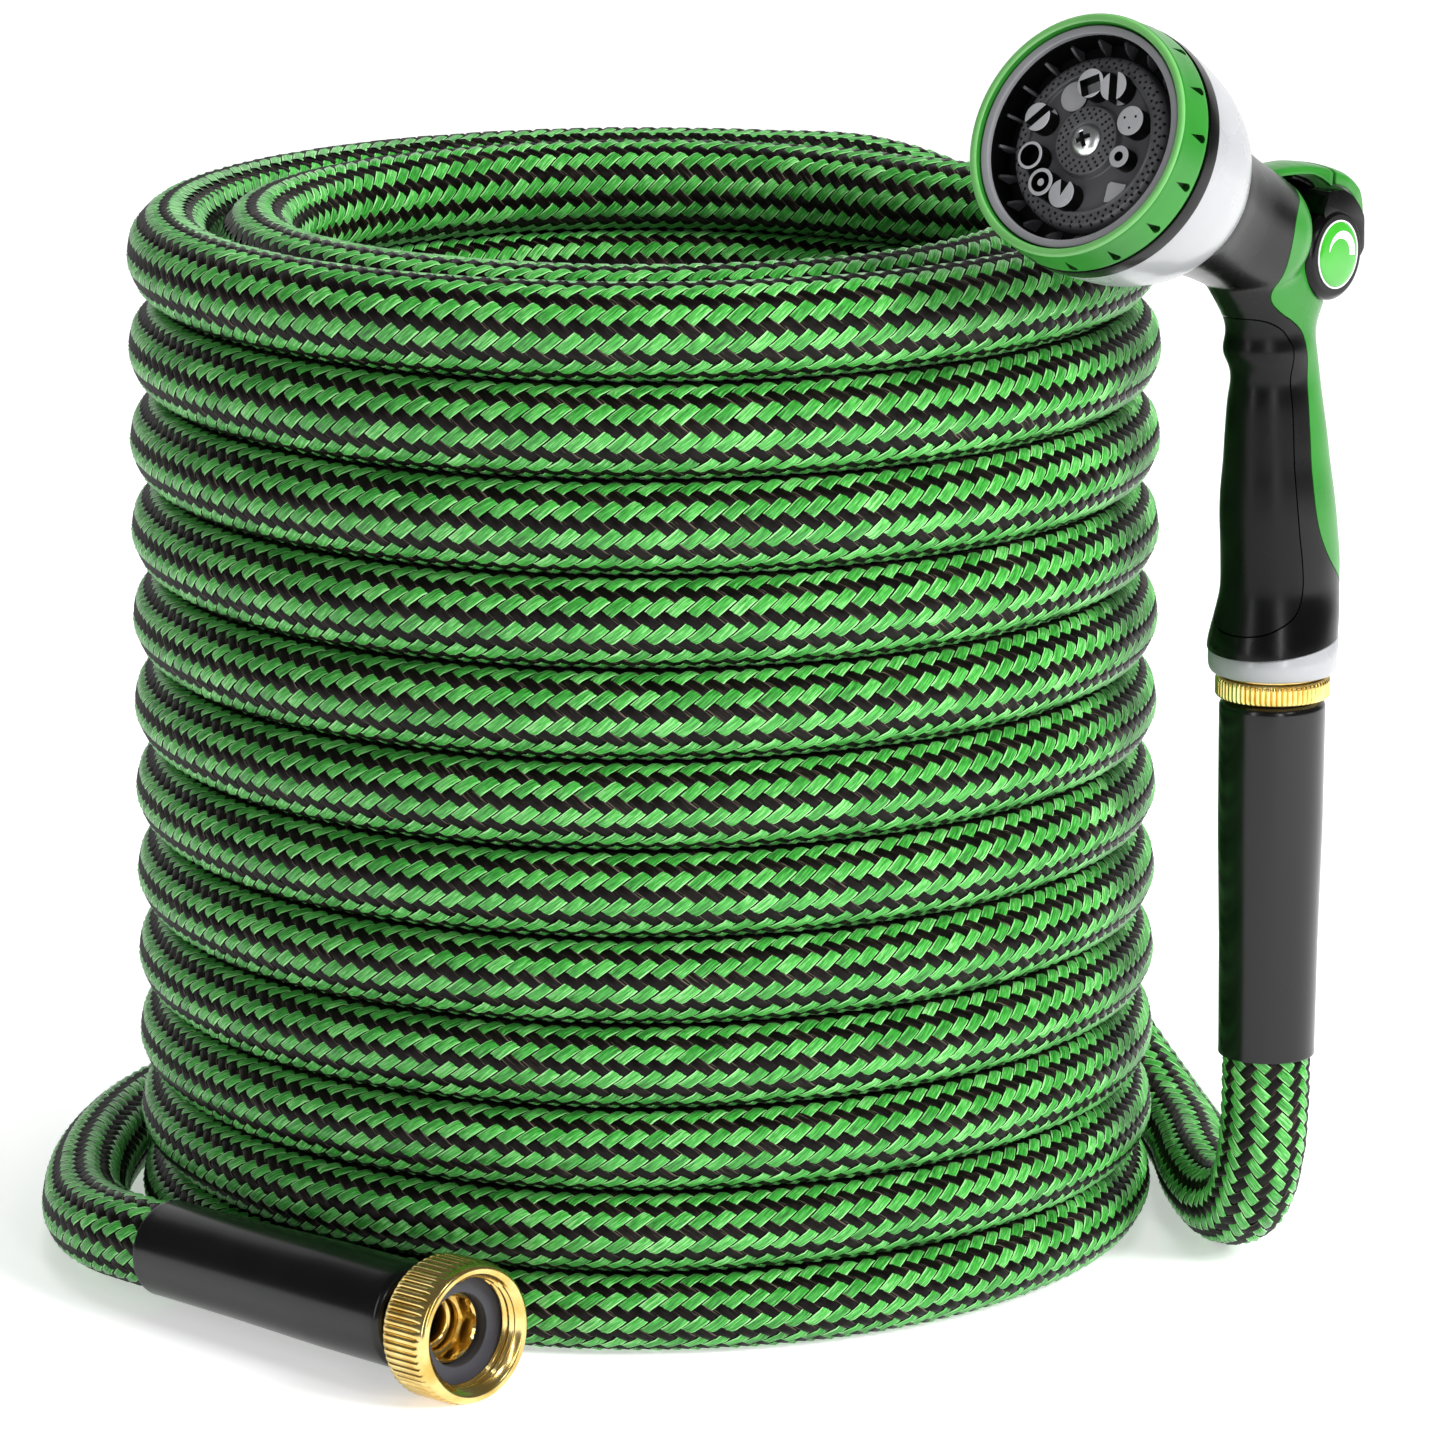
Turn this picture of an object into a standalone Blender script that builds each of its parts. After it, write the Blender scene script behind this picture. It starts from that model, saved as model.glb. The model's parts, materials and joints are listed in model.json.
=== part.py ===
"""Garden hose, coiled, with a dial spray nozzle on one end and a swivel coupling on the other.

The hose stands as a tall coil of level turns. Its upper end comes out low at the back right,
runs along the floor and turns up into a sleeve, a brass coupling and the nozzle. Its lower end
leaves the bottom turn at the left and ends at the front in a sleeve and a brass swivel nut.

Sizes below are in millimetres, and MM turns them into Blender's metres. +Z is up and the
front faces -Y. The origin is on the floor, under the middle of the whole object.
"""
import math

import bmesh
import bpy
from mathutils import Matrix, Vector

MM = 0.001
GAP = 0.3

# The hose and its coil
HOSE_R = 11.2
COIL_X, COIL_Y = -12.9, 22.0
TURN_R = 122.0
LAYER_STEP = 22.2
TURN_COUNT = 12
LOWEST_TURN_H, HIGHEST_TURN_H = 20.6, 24.4
GROOVE_ANGLE, BULGE_ANGLE = 72.0, 28.0
FLOOR_FLAT_W = 7.0
COIL_SIDES = 32
TUBE_POINT_STEP = 14.0
HEAD_SIDES = 26

# The riser, which carries the nozzle, measured from the coil's axis
RISER_X, RISER_Y = 159.0, -62.6
UPPER_SLEEVE_Z = 60.0
SLEEVE_LEN = 91.0
SLEEVE_BACK_R, SLEEVE_FRONT_R = 11.95, 13.4
SLEEVE_BORE_R = 11.5
STEM_R = 9.2
COLLAR_Z = 158.5

# The swivel coupling on the lower end, measured from the coil's axis
NUT_FACE = (-40.0, -165.5, 17.35)
NUT_TURN, NUT_RISE = 46.0, 1.0
NUT_LEN = 15.5
NUT_R = 17.0
NUT_RIDGES = 56
RIDGE_DEPTH = 0.55
THREAD_R = 13.2
NUT_WALL = 2.5
SLEEVE_TO_NUT = 5.5

# The nozzle, in its own frame: X forward, Y to its side, Z up from the collar's lower edge
NOZZLE_TURN = 39.0
COLLAR_R = 16.5
COLLAR_FRONT_H, COLLAR_BACK_H = 7.0, 12.0
FACE_X, FACE_Z = 86.3, 148.3
HEAD_RISE = 24.6
RIM_R, BEZEL_R = 30.9, 32.2
BEZEL_LEN = 10.0
BAND_LEN = 4.2
SHELL_END = 46.0
SHELL_END_R = 20.8
BARREL_END = 81.0
BARREL_R = 16.0
BAND_END = 87.0
CORE_R = 9.2
HUB_X, HUB_Z = -7.0, 107.7
HUB_R, BUTTON_R = 11.2, 8.6
BOSS_R = 9.5
ARM_IN, ARM_OUT = 9.5, 12.4
CAP_IN_R, CAP_R = 19.3, 22.3
CAP_START, CAP_END = 72.0, 150.0
DIAL_FLOOR, DIAL_BACK = -8.0, -12.0
PLATE_R, PLATE_FRONT = 21.8, -3.8
OUTLETS, OUTLET_PITCH_R, OUTLET_R = 10, 15.6, 3.2
SCREW_R = 1.8

GREEN = ("moulded_green", (0.05, 0.36, 0.06), 0.0, 0.4)
BLACK = ("moulded_black", (0.012, 0.012, 0.013), 0.0, 0.3)
SILVER = ("painted_silver_white", (0.75, 0.76, 0.77), 0.0, 0.3)
BRASS = ("brass", (0.83, 0.58, 0.2), 1.0, 0.25)
BRAID = ("braided_yarn", (0.06, 0.3, 0.06), 0.0, 0.6)
WASHER = ("washer_rubber", (0.06, 0.06, 0.065), 0.0, 0.6)
STEEL = ("plated_steel", (0.6, 0.6, 0.62), 1.0, 0.3)

parts = bpy.data.collections.new("garden_hose")
cutters = bpy.data.collections.new("garden_hose_cutters")


def material(look):
    """The Principled material for one of the looks above."""
    name, colour, metallic, roughness = look
    if name in bpy.data.materials:
        return bpy.data.materials[name]
    made = bpy.data.materials.new(name)
    made.use_nodes = True
    shader = made.node_tree.nodes["Principled BSDF"]
    shader.inputs["Base Color"].default_value = (*colour, 1.0)
    shader.inputs["Metallic"].default_value = metallic
    shader.inputs["Roughness"].default_value = roughness
    return made


def guide(name, matrix, parent=None):
    """An empty that carries a group of pieces."""
    empty = bpy.data.objects.new(name, None)
    empty.empty_display_size = 0.02
    parts.objects.link(empty)
    empty.parent = parent
    empty.matrix_local = matrix
    return empty


def place(name, data, look, parent):
    """Links new data as a named piece under its guide."""
    piece = bpy.data.objects.new(name, data)
    data.materials.append(material(look))
    parts.objects.link(piece)
    piece.parent = parent
    return piece


def as_cutter(piece):
    """Moves a piece to the cutters, which aren't part of the object."""
    parts.objects.unlink(piece)
    cutters.objects.link(piece)
    piece.hide_render = True
    piece.display_type = "WIRE"
    return piece


def boolean(piece, other, operation):
    """Joins the other shape to a piece, or cuts it away."""
    modifier = piece.modifiers.new(other.name, "BOOLEAN")
    modifier.operation = operation
    modifier.object = other
    modifier.solver = "EXACT"


def smooth(mesh, angle=40.0):
    mesh.shade_smooth()
    mesh.set_sharp_from_angle(angle=math.radians(angle))


def mesh_from(name, build):
    """A mesh filled by the build function, with its faces turned outwards."""
    work = bmesh.new()
    build(work)
    bmesh.ops.recalc_face_normals(work, faces=work.faces)
    mesh = bpy.data.meshes.new(name)
    work.to_mesh(mesh)
    work.free()
    return mesh


def turned(name, profile, look, parent, sides=20, closed=True):
    """A turned piece. Its profile of (radius, height) points runs down the outer side."""
    mesh = bpy.data.meshes.new(name)
    points = [(radius * MM, 0.0, height * MM) for radius, height in profile]
    edges = [(i, i + 1) for i in range(len(points) - 1)]
    if closed:
        edges.append((len(points) - 1, 0))
    mesh.from_pydata(points, edges, [])
    piece = place(name, mesh, look, parent)
    screw = piece.modifiers.new("turn", "SCREW")
    screw.axis = "Z"
    screw.steps = screw.render_steps = sides
    screw.use_merge_vertices = True
    screw.merge_threshold = 0.00001
    screw.use_smooth_shade = True
    return piece


def arc(centre, radii, start, end, count):
    """Points along an ellipse, from one angle to the other, in degrees."""
    found = []
    for i in range(count):
        angle = math.radians(start + (end - start) * i / (count - 1))
        found.append((centre[0] + radii[0] * math.cos(angle), centre[1] + radii[1] * math.sin(angle)))
    return found


def plate(name, outline, low, high, look, parent):
    """A flat plate: an outline of (forward, up) points, as thick as from low to high sideways."""
    def build(work):
        face = work.faces.new([work.verts.new((x * MM, low * MM, z * MM)) for x, z in outline])
        grown = bmesh.ops.extrude_face_region(work, geom=[face])
        moved = [item for item in grown["geom"] if isinstance(item, bmesh.types.BMVert)]
        bmesh.ops.translate(work, verts=moved, vec=(0, (high - low) * MM, 0))

    return place(name, mesh_from(name, build), look, parent)


def loft(name, rings, look, parent):
    """A closed solid through rings of like points, with flat ends."""
    def build(work):
        rows = [[work.verts.new([value * MM for value in point]) for point in ring] for ring in rings]
        count = len(rows[0])
        for low, high in zip(rows, rows[1:]):
            for i in range(count):
                j = (i + 1) % count
                work.faces.new((low[i], low[j], high[j], high[i]))
        work.faces.new(rows[0])
        work.faces.new(rows[-1])

    mesh = mesh_from(name, build)
    smooth(mesh)
    return place(name, mesh, look, parent)


def catmull(points, step):
    """Evenly spaced points on the smooth curve through the given ones."""
    line = [Vector(point) for point in points]
    line = [2 * line[0] - line[1]] + line + [2 * line[-1] - line[-2]]
    dense = []
    for before, start, end, after in zip(line, line[1:], line[2:], line[3:]):
        for i in range(20):
            t = i / 20
            bend = 2 * before - 5 * start + 4 * end - after
            twist = 3 * start - before - 3 * end + after
            dense.append(0.5 * (2 * start + (end - before) * t + bend * t * t + twist * t ** 3))
    dense.append(line[-2])
    total = sum((b - a).length for a, b in zip(dense, dense[1:]))
    pieces = round(total / step)
    spaced, walked, goal = [dense[0]], 0.0, 1
    for a, b in zip(dense, dense[1:]):
        length = (b - a).length
        while goal < pieces and walked + length >= goal * total / pieces:
            spaced.append(a.lerp(b, (goal * total / pieces - walked) / length))
            goal += 1
        walked += length
    return spaced + [dense[-1]]


def tube(name, points, look, parent):
    """A length of the hose as a plain round tube."""
    curve = bpy.data.curves.new(name, "CURVE")
    curve.dimensions = "3D"
    curve.bevel_depth = HOSE_R * MM
    curve.bevel_resolution = 4
    curve.use_fill_caps = True
    spline = curve.splines.new("POLY")
    spline.points.add(len(points) - 1)
    for target, point in zip(spline.points, points):
        target.co = (*(point * MM), 1.0)
    return place(name, curve, look, parent)


def turn_levels():
    """Lowest edge and height of every turn, from the floor up: the lower ones are pressed flatter."""
    levels, low = [], 0.0
    for i in range(TURN_COUNT):
        height = LOWEST_TURN_H + (HIGHEST_TURN_H - LOWEST_TURN_H) * i / (TURN_COUNT - 1)
        levels.append((low, height))
        low += height
    return levels


def coil_profile():
    """Down the outer turns, across the floor and up the inner turns."""
    levels = turn_levels()
    inner_r = TURN_R - LAYER_STEP
    between = TURN_R - LAYER_STEP / 2
    reach = HOSE_R / math.cos(math.radians(BULGE_ANGLE))
    groove = HOSE_R * math.cos(math.radians(GROOVE_ANGLE))
    top = levels[-1][0] + levels[-1][1]
    profile = []
    for low, height in reversed(levels):
        centre, radii = (TURN_R, low + height / 2), (reach, height / 2)
        crown = (TURN_R, top) if low + height == top else (TURN_R + groove, low + height)
        profile += [crown] + arc(centre, radii, BULGE_ANGLE, -BULGE_ANGLE, 2)
    profile += [(TURN_R + FLOOR_FLAT_W / 2, 0.0), (TURN_R - FLOOR_FLAT_W / 2, 0.0), (between, HOSE_R * 0.35)]
    profile += [(inner_r + FLOOR_FLAT_W / 2, 0.0), (inner_r - FLOOR_FLAT_W / 2, 0.0)]
    for low, height in levels:
        centre, radii = (inner_r, low + height / 2), (reach, height / 2)
        crown = (inner_r, top) if low + height == top else (inner_r - groove, low + height)
        profile += arc(centre, radii, 180 + BULGE_ANGLE, 180 - BULGE_ANGLE, 2) + [crown]
    profile.append((between, top - HOSE_R * 0.35))
    return profile


def riser_route():
    """Points of the upper end, from inside its sleeve to where it joins the coil's second turn."""
    top = UPPER_SLEEVE_Z + SLEEVE_LEN - 3.0
    straight = [(RISER_X, RISER_Y, z) for z in (top, top - 28, top - 56, UPPER_SLEEVE_Z, UPPER_SLEEVE_Z - 10)]
    bend = [(158.4, -60.3, 34.0), (155.6, -50.5, 18.0), (150.6, -32.0, 11.5), (146.6, -8.0, 11.4),
            (145.4, 16.0, 11.4), (141.0, 39.0, 13.0), (133.5, 60.5, 19.5), (124.5, 77.5, 28.0),
            (110.6, 93.9, 31.0), (97.0, 107.7, 31.2)]
    return straight + bend


def tail_route(rear):
    """Points of the lower end, from behind its sleeve round the coil's left side to the back."""
    behind = [(-137.5, -67.0, 14.0), (-143.8, -50.0, 12.6), (-146.6, -29.0, 11.5), (-146.8, -4.0, 11.3),
              (-143.8, 22.0, 11.3), (-137.2, 47.5, 11.3), (-125.5, 72.6, 11.3), (-110.2, 94.2, 11.3)]
    return rear + behind


def axis_frame(origin, along, side):
    """A frame at a point, with Z along one direction and X near another."""
    z = Vector(along).normalized()
    y = z.cross(Vector(side)).normalized()
    x = y.cross(z)
    matrix = Matrix((x, y, z)).transposed().to_4x4()
    matrix.translation = Vector(origin) * MM
    return matrix


def knurled_outline(radius, ridges, depth):
    """A round outline with fine ridges."""
    points = []
    for i in range(2 * ridges):
        reach = radius if i % 2 == 0 else radius - depth
        angle = math.pi * i / ridges
        points.append((reach * math.cos(angle), reach * math.sin(angle)))
    return points


def knurled_drum(name, radius, ridges, low, high, chamfer, look, parent):
    """A drum with ridges round its side and plain chamfered ends."""
    ridged = knurled_outline(radius, ridges, RIDGE_DEPTH)
    plain = knurled_outline(radius - RIDGE_DEPTH - chamfer, ridges, 0.0)
    rings = [[(x, y, low) for x, y in plain], [(x, y, low + chamfer) for x, y in ridged],
             [(x, y, high - chamfer) for x, y in ridged], [(x, y, high) for x, y in plain]]
    return loft(name, rings, look, parent)


def sleeve_profile():
    """The ferrule sleeve, from its rounded front shoulder at height 0 back to its thin rear edge."""
    front_bore = STEM_R + GAP
    return [(front_bore, 0.0), (11.6, 0.0), (12.8, -0.8), (SLEEVE_FRONT_R, -2.6), (SLEEVE_FRONT_R, -30.0),
            (SLEEVE_BACK_R, -SLEEVE_LEN + 1.0), (SLEEVE_BACK_R - 0.2, -SLEEVE_LEN),
            (SLEEVE_BORE_R, -SLEEVE_LEN), (SLEEVE_BORE_R, -2.4), (front_bore, -2.4)]


def build_coil(coil):
    turned("hose_coil", coil_profile(), BRAID, coil, sides=COIL_SIDES)


def build_lower_end(coil):
    """The tail of the hose with its sleeve, tailpiece, washer and swivel nut."""
    turn, rise = math.radians(NUT_TURN), math.radians(NUT_RISE)
    along = Vector((math.sin(turn) * math.cos(rise), -math.cos(turn) * math.cos(rise), math.sin(rise)))
    axis = guide("swivel_axis", axis_frame(NUT_FACE, along, (0, 0, 1)), coil)
    front = -NUT_LEN - SLEEVE_TO_NUT
    rear = front - SLEEVE_LEN

    straight = [Vector(NUT_FACE) + along * place_on for place_on in (front - 3, front - 31, front - 60, rear, rear - 11)]
    points = catmull([tuple(point) for point in tail_route([tuple(p) for p in straight])], TUBE_POINT_STEP)
    tube("hose_lower_end", points, BRAID, coil)

    shift = guide("lower_sleeve_place", Matrix.Translation((0, 0, front * MM)), axis)
    turned("lower_sleeve", sleeve_profile(), BLACK, shift)

    # The tailpiece's flange turns freely in the nut, in front of the nut's rear wall
    seat = -NUT_LEN + NUT_WALL + GAP
    tail = [(STEM_R, front - 2.4), (STEM_R, seat), (11.8, seat), (11.8, seat + 2.0), (6.6, seat + 2.0),
            (6.6, seat - 4.0), (5.2, seat - 4.0), (5.2, front - 2.4)]
    turned("lower_tailpiece", list(reversed(tail)), BRASS, axis)
    washer = seat + 2.0 + GAP
    turned("hose_washer", [(THREAD_R - 0.4, washer + 3.0), (THREAD_R - 0.4, washer), (7.4, washer),
                           (7.4, washer + 3.0)], WASHER, axis)

    nut = knurled_drum("swivel_nut", NUT_R, NUT_RIDGES, -NUT_LEN, 0.0, 0.8, BRASS, axis)
    socket = [(0.0, 2.0), (THREAD_R + 1.6, 2.0), (THREAD_R + 1.6, -1.0), (THREAD_R, -2.4),
              (THREAD_R, -NUT_LEN + NUT_WALL), (STEM_R + GAP, -NUT_LEN + NUT_WALL),
              (STEM_R + GAP, -NUT_LEN - 2.0), (0.0, -NUT_LEN - 2.0)]
    cut = as_cutter(turned("nut_socket", socket, BRASS, axis, closed=False))
    boolean(nut, cut, "DIFFERENCE")


def build_upper_end(coil):
    """The riser of the hose with its sleeve and the knurled male coupling."""
    points = catmull(riser_route(), TUBE_POINT_STEP)
    tube("hose_upper_end", points, BRAID, coil)
    top = UPPER_SLEEVE_Z + SLEEVE_LEN
    riser = guide("riser", Matrix.Translation((RISER_X * MM, RISER_Y * MM, top * MM)), coil)
    turned("upper_sleeve", sleeve_profile(), BLACK, riser)

    ring_low, ring_high = GAP, COLLAR_Z - GAP - top
    ring = knurled_drum("male_coupling", 14.65, 64, ring_low, ring_high, 0.7, BRASS, riser)
    spigot = [(0.0, ring_high + 8.0), (12.4, ring_high + 8.0), (13.0, ring_high + 7.2), (13.0, ring_high - 1.0),
              (STEM_R, ring_high - 1.0), (STEM_R, -2.4), (0.0, -2.4)]
    boolean(ring, as_cutter(turned("coupling_spigot", spigot, BRASS, riser, closed=False)), "UNION")
    bore = [(0.0, ring_high + 10.0), (6.5, ring_high + 10.0), (6.5, -4.0), (0.0, -4.0)]
    boolean(ring, as_cutter(turned("coupling_bore", bore, BRASS, riser, closed=False)), "DIFFERENCE")


def handle_ring(height, forward, deep, wide, count=28):
    """One level section of the handle: an ellipse, deep from front to back."""
    ring = []
    for i in range(count):
        angle = math.tau * i / count
        ring.append((forward + deep * math.cos(angle), wide * math.sin(angle), height))
    return ring


def handle_sections():
    """Height, forward place, half depth and half width of the handle, from collar to neck."""
    return [(2.0, 0.6, 16.7, 16.7), (9.3, 0.6, 16.9, 16.4), (16.0, -1.3, 16.9, 15.4), (22.7, -2.5, 16.8, 14.1),
            (29.4, -2.5, 16.9, 14.2), (36.1, -1.8, 16.7, 14.0), (42.8, -1.0, 16.4, 13.9),
            (49.4, -0.4, 15.8, 13.4), (56.1, 0.0, 15.0, 12.6), (62.7, 0.4, 14.5, 12.1), (69.4, 1.0, 13.8, 11.4),
            (76.0, 1.5, 13.1, 10.8), (82.6, 2.3, 12.7, 10.5), (89.2, 3.4, 12.4, 10.3), (94.0, 4.6, 13.8, 11.6),
            (99.0, 6.6, 17.2, 13.4), (104.0, 9.0, 20.5, 14.6)]


def collar_plane(offset):
    """A big slab above the sloped seam between the collar and the handle."""
    reach = 40.0
    slope = (COLLAR_FRONT_H - COLLAR_BACK_H) / (2 * COLLAR_R)
    middle = (COLLAR_FRONT_H + COLLAR_BACK_H) / 2 + offset
    return [(-reach, middle - slope * reach), (reach, middle + slope * reach), (reach, 80.0), (-reach, 80.0)]


def pad_outline(inset):
    """Side outline of the grip pad, which is everything in front of its seam."""
    seam = [(17.5, 94.2), (11.5, 91.4), (8.6, 87.6), (7.8, 84.3), (7.5, 73.0), (7.6, 55.0), (7.1, 43.0),
            (5.6, 31.0), (5.5, 24.0), (7.6, 19.4), (11.9, 15.6), (16.0, 12.8)]
    edge = []
    for x, z in seam:
        upper, lower = z > 90.0, z < 17.0
        edge.append((x + inset, z - inset if upper else z + inset if lower else z))
    return edge + [(40.0, 12.8 + inset), (40.0, 94.2 - inset)]


def trim_outline(inset):
    """Side outline of the green back, which is everything behind its seam and the barrel's end."""
    seam = [(19.2, 99.9), (11.2, 95.5), (5.4, 91.2), (3.0, 87.6), (2.5, 84.0), (2.5, 54.5), (1.2, 41.7),
            (-3.1, 32.6), (-9.4, 26.2), (-18.0, 20.0)]
    edge = [(x - inset, z) for x, z in seam]
    return edge + [(-40.0, 20.0), (-40.0, 140.0), (0.84 - inset, 140.0)]


def build_nozzle_body(nozzle, head, hub):
    """The inlet collar, the handle with its barrel, the grip pad and the green back."""
    collar = turned("inlet_collar", [(13.3, 12.0), (COLLAR_R, 12.0), (COLLAR_R, 3.0), (COLLAR_R - 1.3, 0.0),
                                     (13.3, 0.0)], SILVER, nozzle, sides=HEAD_SIDES)
    above = as_cutter(plate("collar_seam", collar_plane(0.0), -40.0, 40.0, SILVER, nozzle))
    boolean(collar, above, "DIFFERENCE")

    handle = handle_blank("handle_body", BLACK, nozzle)
    for name, outline in (("pad_recess", pad_outline(-GAP)), ("trim_recess", trim_outline(-GAP))):
        boolean(handle, as_cutter(plate(name, outline, -40.0, 40.0, BLACK, nozzle)), "DIFFERENCE")
    front = -SHELL_END - GAP
    barrel = [(0.0, front), (SHELL_END_R - 0.6, front), (18.6, front - 7.0), (17.0, front - 16.0),
              (BARREL_R, -BARREL_END), (CORE_R, -BARREL_END), (CORE_R, -98.0), (0.0, -98.0)]
    boolean(handle, as_cutter(turned("barrel", barrel, BLACK, head, sides=HEAD_SIDES, closed=False)), "UNION")
    boss = [(0.0, CORE_R), (BOSS_R, CORE_R), (BOSS_R, -CORE_R), (0.0, -CORE_R)]
    boolean(handle, as_cutter(turned("hub_boss", boss, BLACK, hub, closed=False)), "UNION")
    socket = turned("inlet_socket", [(0.0, 16.0), (13.3, 16.0), (13.3, -4.0), (0.0, -4.0)], BLACK, nozzle,
                    closed=False)
    boolean(handle, as_cutter(socket), "DIFFERENCE")

    pad = handle_blank("grip_pad", BLACK, nozzle)
    boolean(pad, as_cutter(plate("pad_side", pad_outline(0.0), -40.0, 40.0, BLACK, nozzle)), "INTERSECT")


def handle_blank(name, look, nozzle):
    """The whole outer form of the handle above the collar's seam, before it is divided."""
    blank = loft(name, [handle_ring(*section) for section in handle_sections()], look, nozzle)
    above = [(x, z if z < 80 else 140.0) for x, z in collar_plane(GAP)]
    boolean(blank, as_cutter(plate(name + "_above_seam", above, -40.0, 40.0, look, nozzle)), "INTERSECT")
    return blank


def build_trim(nozzle, head, hub):
    """The green back of the handle, which rises as a band round the end of the barrel."""
    trim = handle_blank("handle_trim", GREEN, nozzle)
    band = [(0.0, -BARREL_END + 2.0), (BARREL_R, -BARREL_END + 2.0), (BARREL_R, -BAND_END + 1.2),
            (BARREL_R - 1.2, -BAND_END), (0.0, -BAND_END)]
    boolean(trim, as_cutter(turned("trim_band", band, GREEN, head, sides=HEAD_SIDES, closed=False)), "UNION")
    side = as_cutter(plate("trim_side", trim_outline(0.0), -40.0, 40.0, GREEN, nozzle))
    boolean(trim, side, "INTERSECT")
    bore = [(0.0, -73.0), (CORE_R + GAP, -73.0), (CORE_R + GAP, -99.0), (0.0, -99.0)]
    boolean(trim, as_cutter(turned("core_bore", bore, GREEN, head, closed=False)), "DIFFERENCE")
    clearance = [(0.0, 30.0), (HUB_R + 0.5, 30.0), (HUB_R + 0.5, -30.0), (0.0, -30.0)]
    boolean(trim, as_cutter(turned("hub_clearance", clearance, GREEN, hub, closed=False)), "DIFFERENCE")


def build_head(head):
    """The fixed shell and band, and the dial that turns in front of them on its screw."""
    post = 5.0
    shell = [(31.6, -BEZEL_LEN - BAND_LEN - GAP), (30.7, -23.0), (28.4, -32.0), (25.0, -39.5), (SHELL_END_R, -SHELL_END),
             (0.0, -SHELL_END), (0.0, -22.0), (SCREW_R + GAP, -22.0), (SCREW_R + GAP, DIAL_BACK - GAP),
             (post, DIAL_BACK - GAP), (post, -43.6), (19.4, -43.6), (22.7, -40.0), (26.0, -32.6), (28.4, -23.0),
             (29.2, -BEZEL_LEN - BAND_LEN - GAP)]
    turned("head_shell", shell, SILVER, head, sides=HEAD_SIDES)
    band = -BEZEL_LEN - GAP
    turned("seal_band", [(BEZEL_R, band), (31.9, band - BAND_LEN + GAP), (28.4, band - BAND_LEN + GAP),
                         (28.4, band)], BLACK, head, sides=HEAD_SIDES)

    turned("dial_bezel", [(29.4, 0.0), (30.4, -0.2), (RIM_R, -1.0), (BEZEL_R - 0.1, -BEZEL_LEN + 0.8),
                          (BEZEL_R - 0.6, -BEZEL_LEN), (28.4, -BEZEL_LEN), (28.4, -0.8)], GREEN, head, sides=HEAD_SIDES)
    turned("dial_liner", [(28.1, -1.8), (28.1, DIAL_FLOOR + GAP), (26.0, DIAL_FLOOR + GAP), (26.0, -2.4)],
           SILVER, head, sides=HEAD_SIDES)
    turned("dial_base", [(28.1, DIAL_FLOOR), (28.1, DIAL_BACK), (SCREW_R + GAP, DIAL_BACK),
                         (SCREW_R + GAP, DIAL_FLOOR)], BLACK, head, sides=HEAD_SIDES)
    plate_back = DIAL_FLOOR + GAP
    disc = turned("face_plate", [(8.8, PLATE_FRONT + 0.9), (9.4, PLATE_FRONT), (PLATE_R - 0.6, PLATE_FRONT),
                                 (PLATE_R, PLATE_FRONT - 0.6), (PLATE_R, plate_back), (SCREW_R + GAP, plate_back),
                                 (SCREW_R + GAP, PLATE_FRONT + 0.9)], SILVER, head, sides=HEAD_SIDES)
    boolean(disc, as_cutter(outlet_posts(head)), "UNION")
    screw_top = PLATE_FRONT + 0.9 + GAP
    turned("dial_screw", [(0.0, screw_top + 1.8), (2.6, screw_top + 1.4), (4.2, screw_top), (SCREW_R, screw_top),
                          (SCREW_R, -21.0), (0.0, -21.0)], STEEL, head, closed=False)


def outlet_posts(head):
    """The round posts of the spray outlets, evenly round the face plate."""
    def build(work):
        for i in range(OUTLETS):
            angle = math.tau * (i + 0.5) / OUTLETS
            centre = Vector((OUTLET_PITCH_R * math.cos(angle), OUTLET_PITCH_R * math.sin(angle), PLATE_FRONT))
            bmesh.ops.create_cone(work, cap_ends=True, segments=14, radius1=OUTLET_R * MM, radius2=OUTLET_R * MM,
                                  depth=2.6 * MM, matrix=Matrix.Translation(centre * MM))

    return place("outlet_posts", mesh_from("outlet_posts", build), SILVER, head)


def around_hub(radius, start, end, count):
    """Points of (forward, up) on an arc about the hub, its angle rising from the front."""
    return arc((HUB_X, HUB_Z), (radius, radius), start, end, count)


def build_lever(nozzle, hub):
    """The thumb lever: a green cap on two black arms, with a green button on each side."""
    cap = around_hub(CAP_IN_R, CAP_START, CAP_END, 9) + around_hub(CAP_R, CAP_END, CAP_START, 9)
    plate("lever_cap", cap, -10.0, 10.0, GREEN, nozzle)
    arm = around_hub(CAP_IN_R - GAP, 92.0, CAP_END - 2, 7) + around_hub(HUB_R, 180.0, 420.0, 20)
    yoke = plate("lever_yoke", arm, -ARM_OUT, ARM_OUT, BLACK, nozzle)
    gap_outline = around_hub(CAP_IN_R - 3.0, 80.0, 170.0, 9) + around_hub(40.0, 190.0, 420.0, 20)
    inside = as_cutter(plate("yoke_inside", gap_outline, -ARM_IN, ARM_IN, BLACK, nozzle))
    boolean(yoke, inside, "DIFFERENCE")
    for name, side in (("lever_button_left", 1), ("lever_button_right", -1)):
        low, high = sorted((side * (ARM_OUT + GAP), side * (ARM_OUT + 1.9)))
        turned(name, [(0.0, high), (BUTTON_R, high), (BUTTON_R, low), (0.0, low)], GREEN, hub, closed=False)


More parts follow.
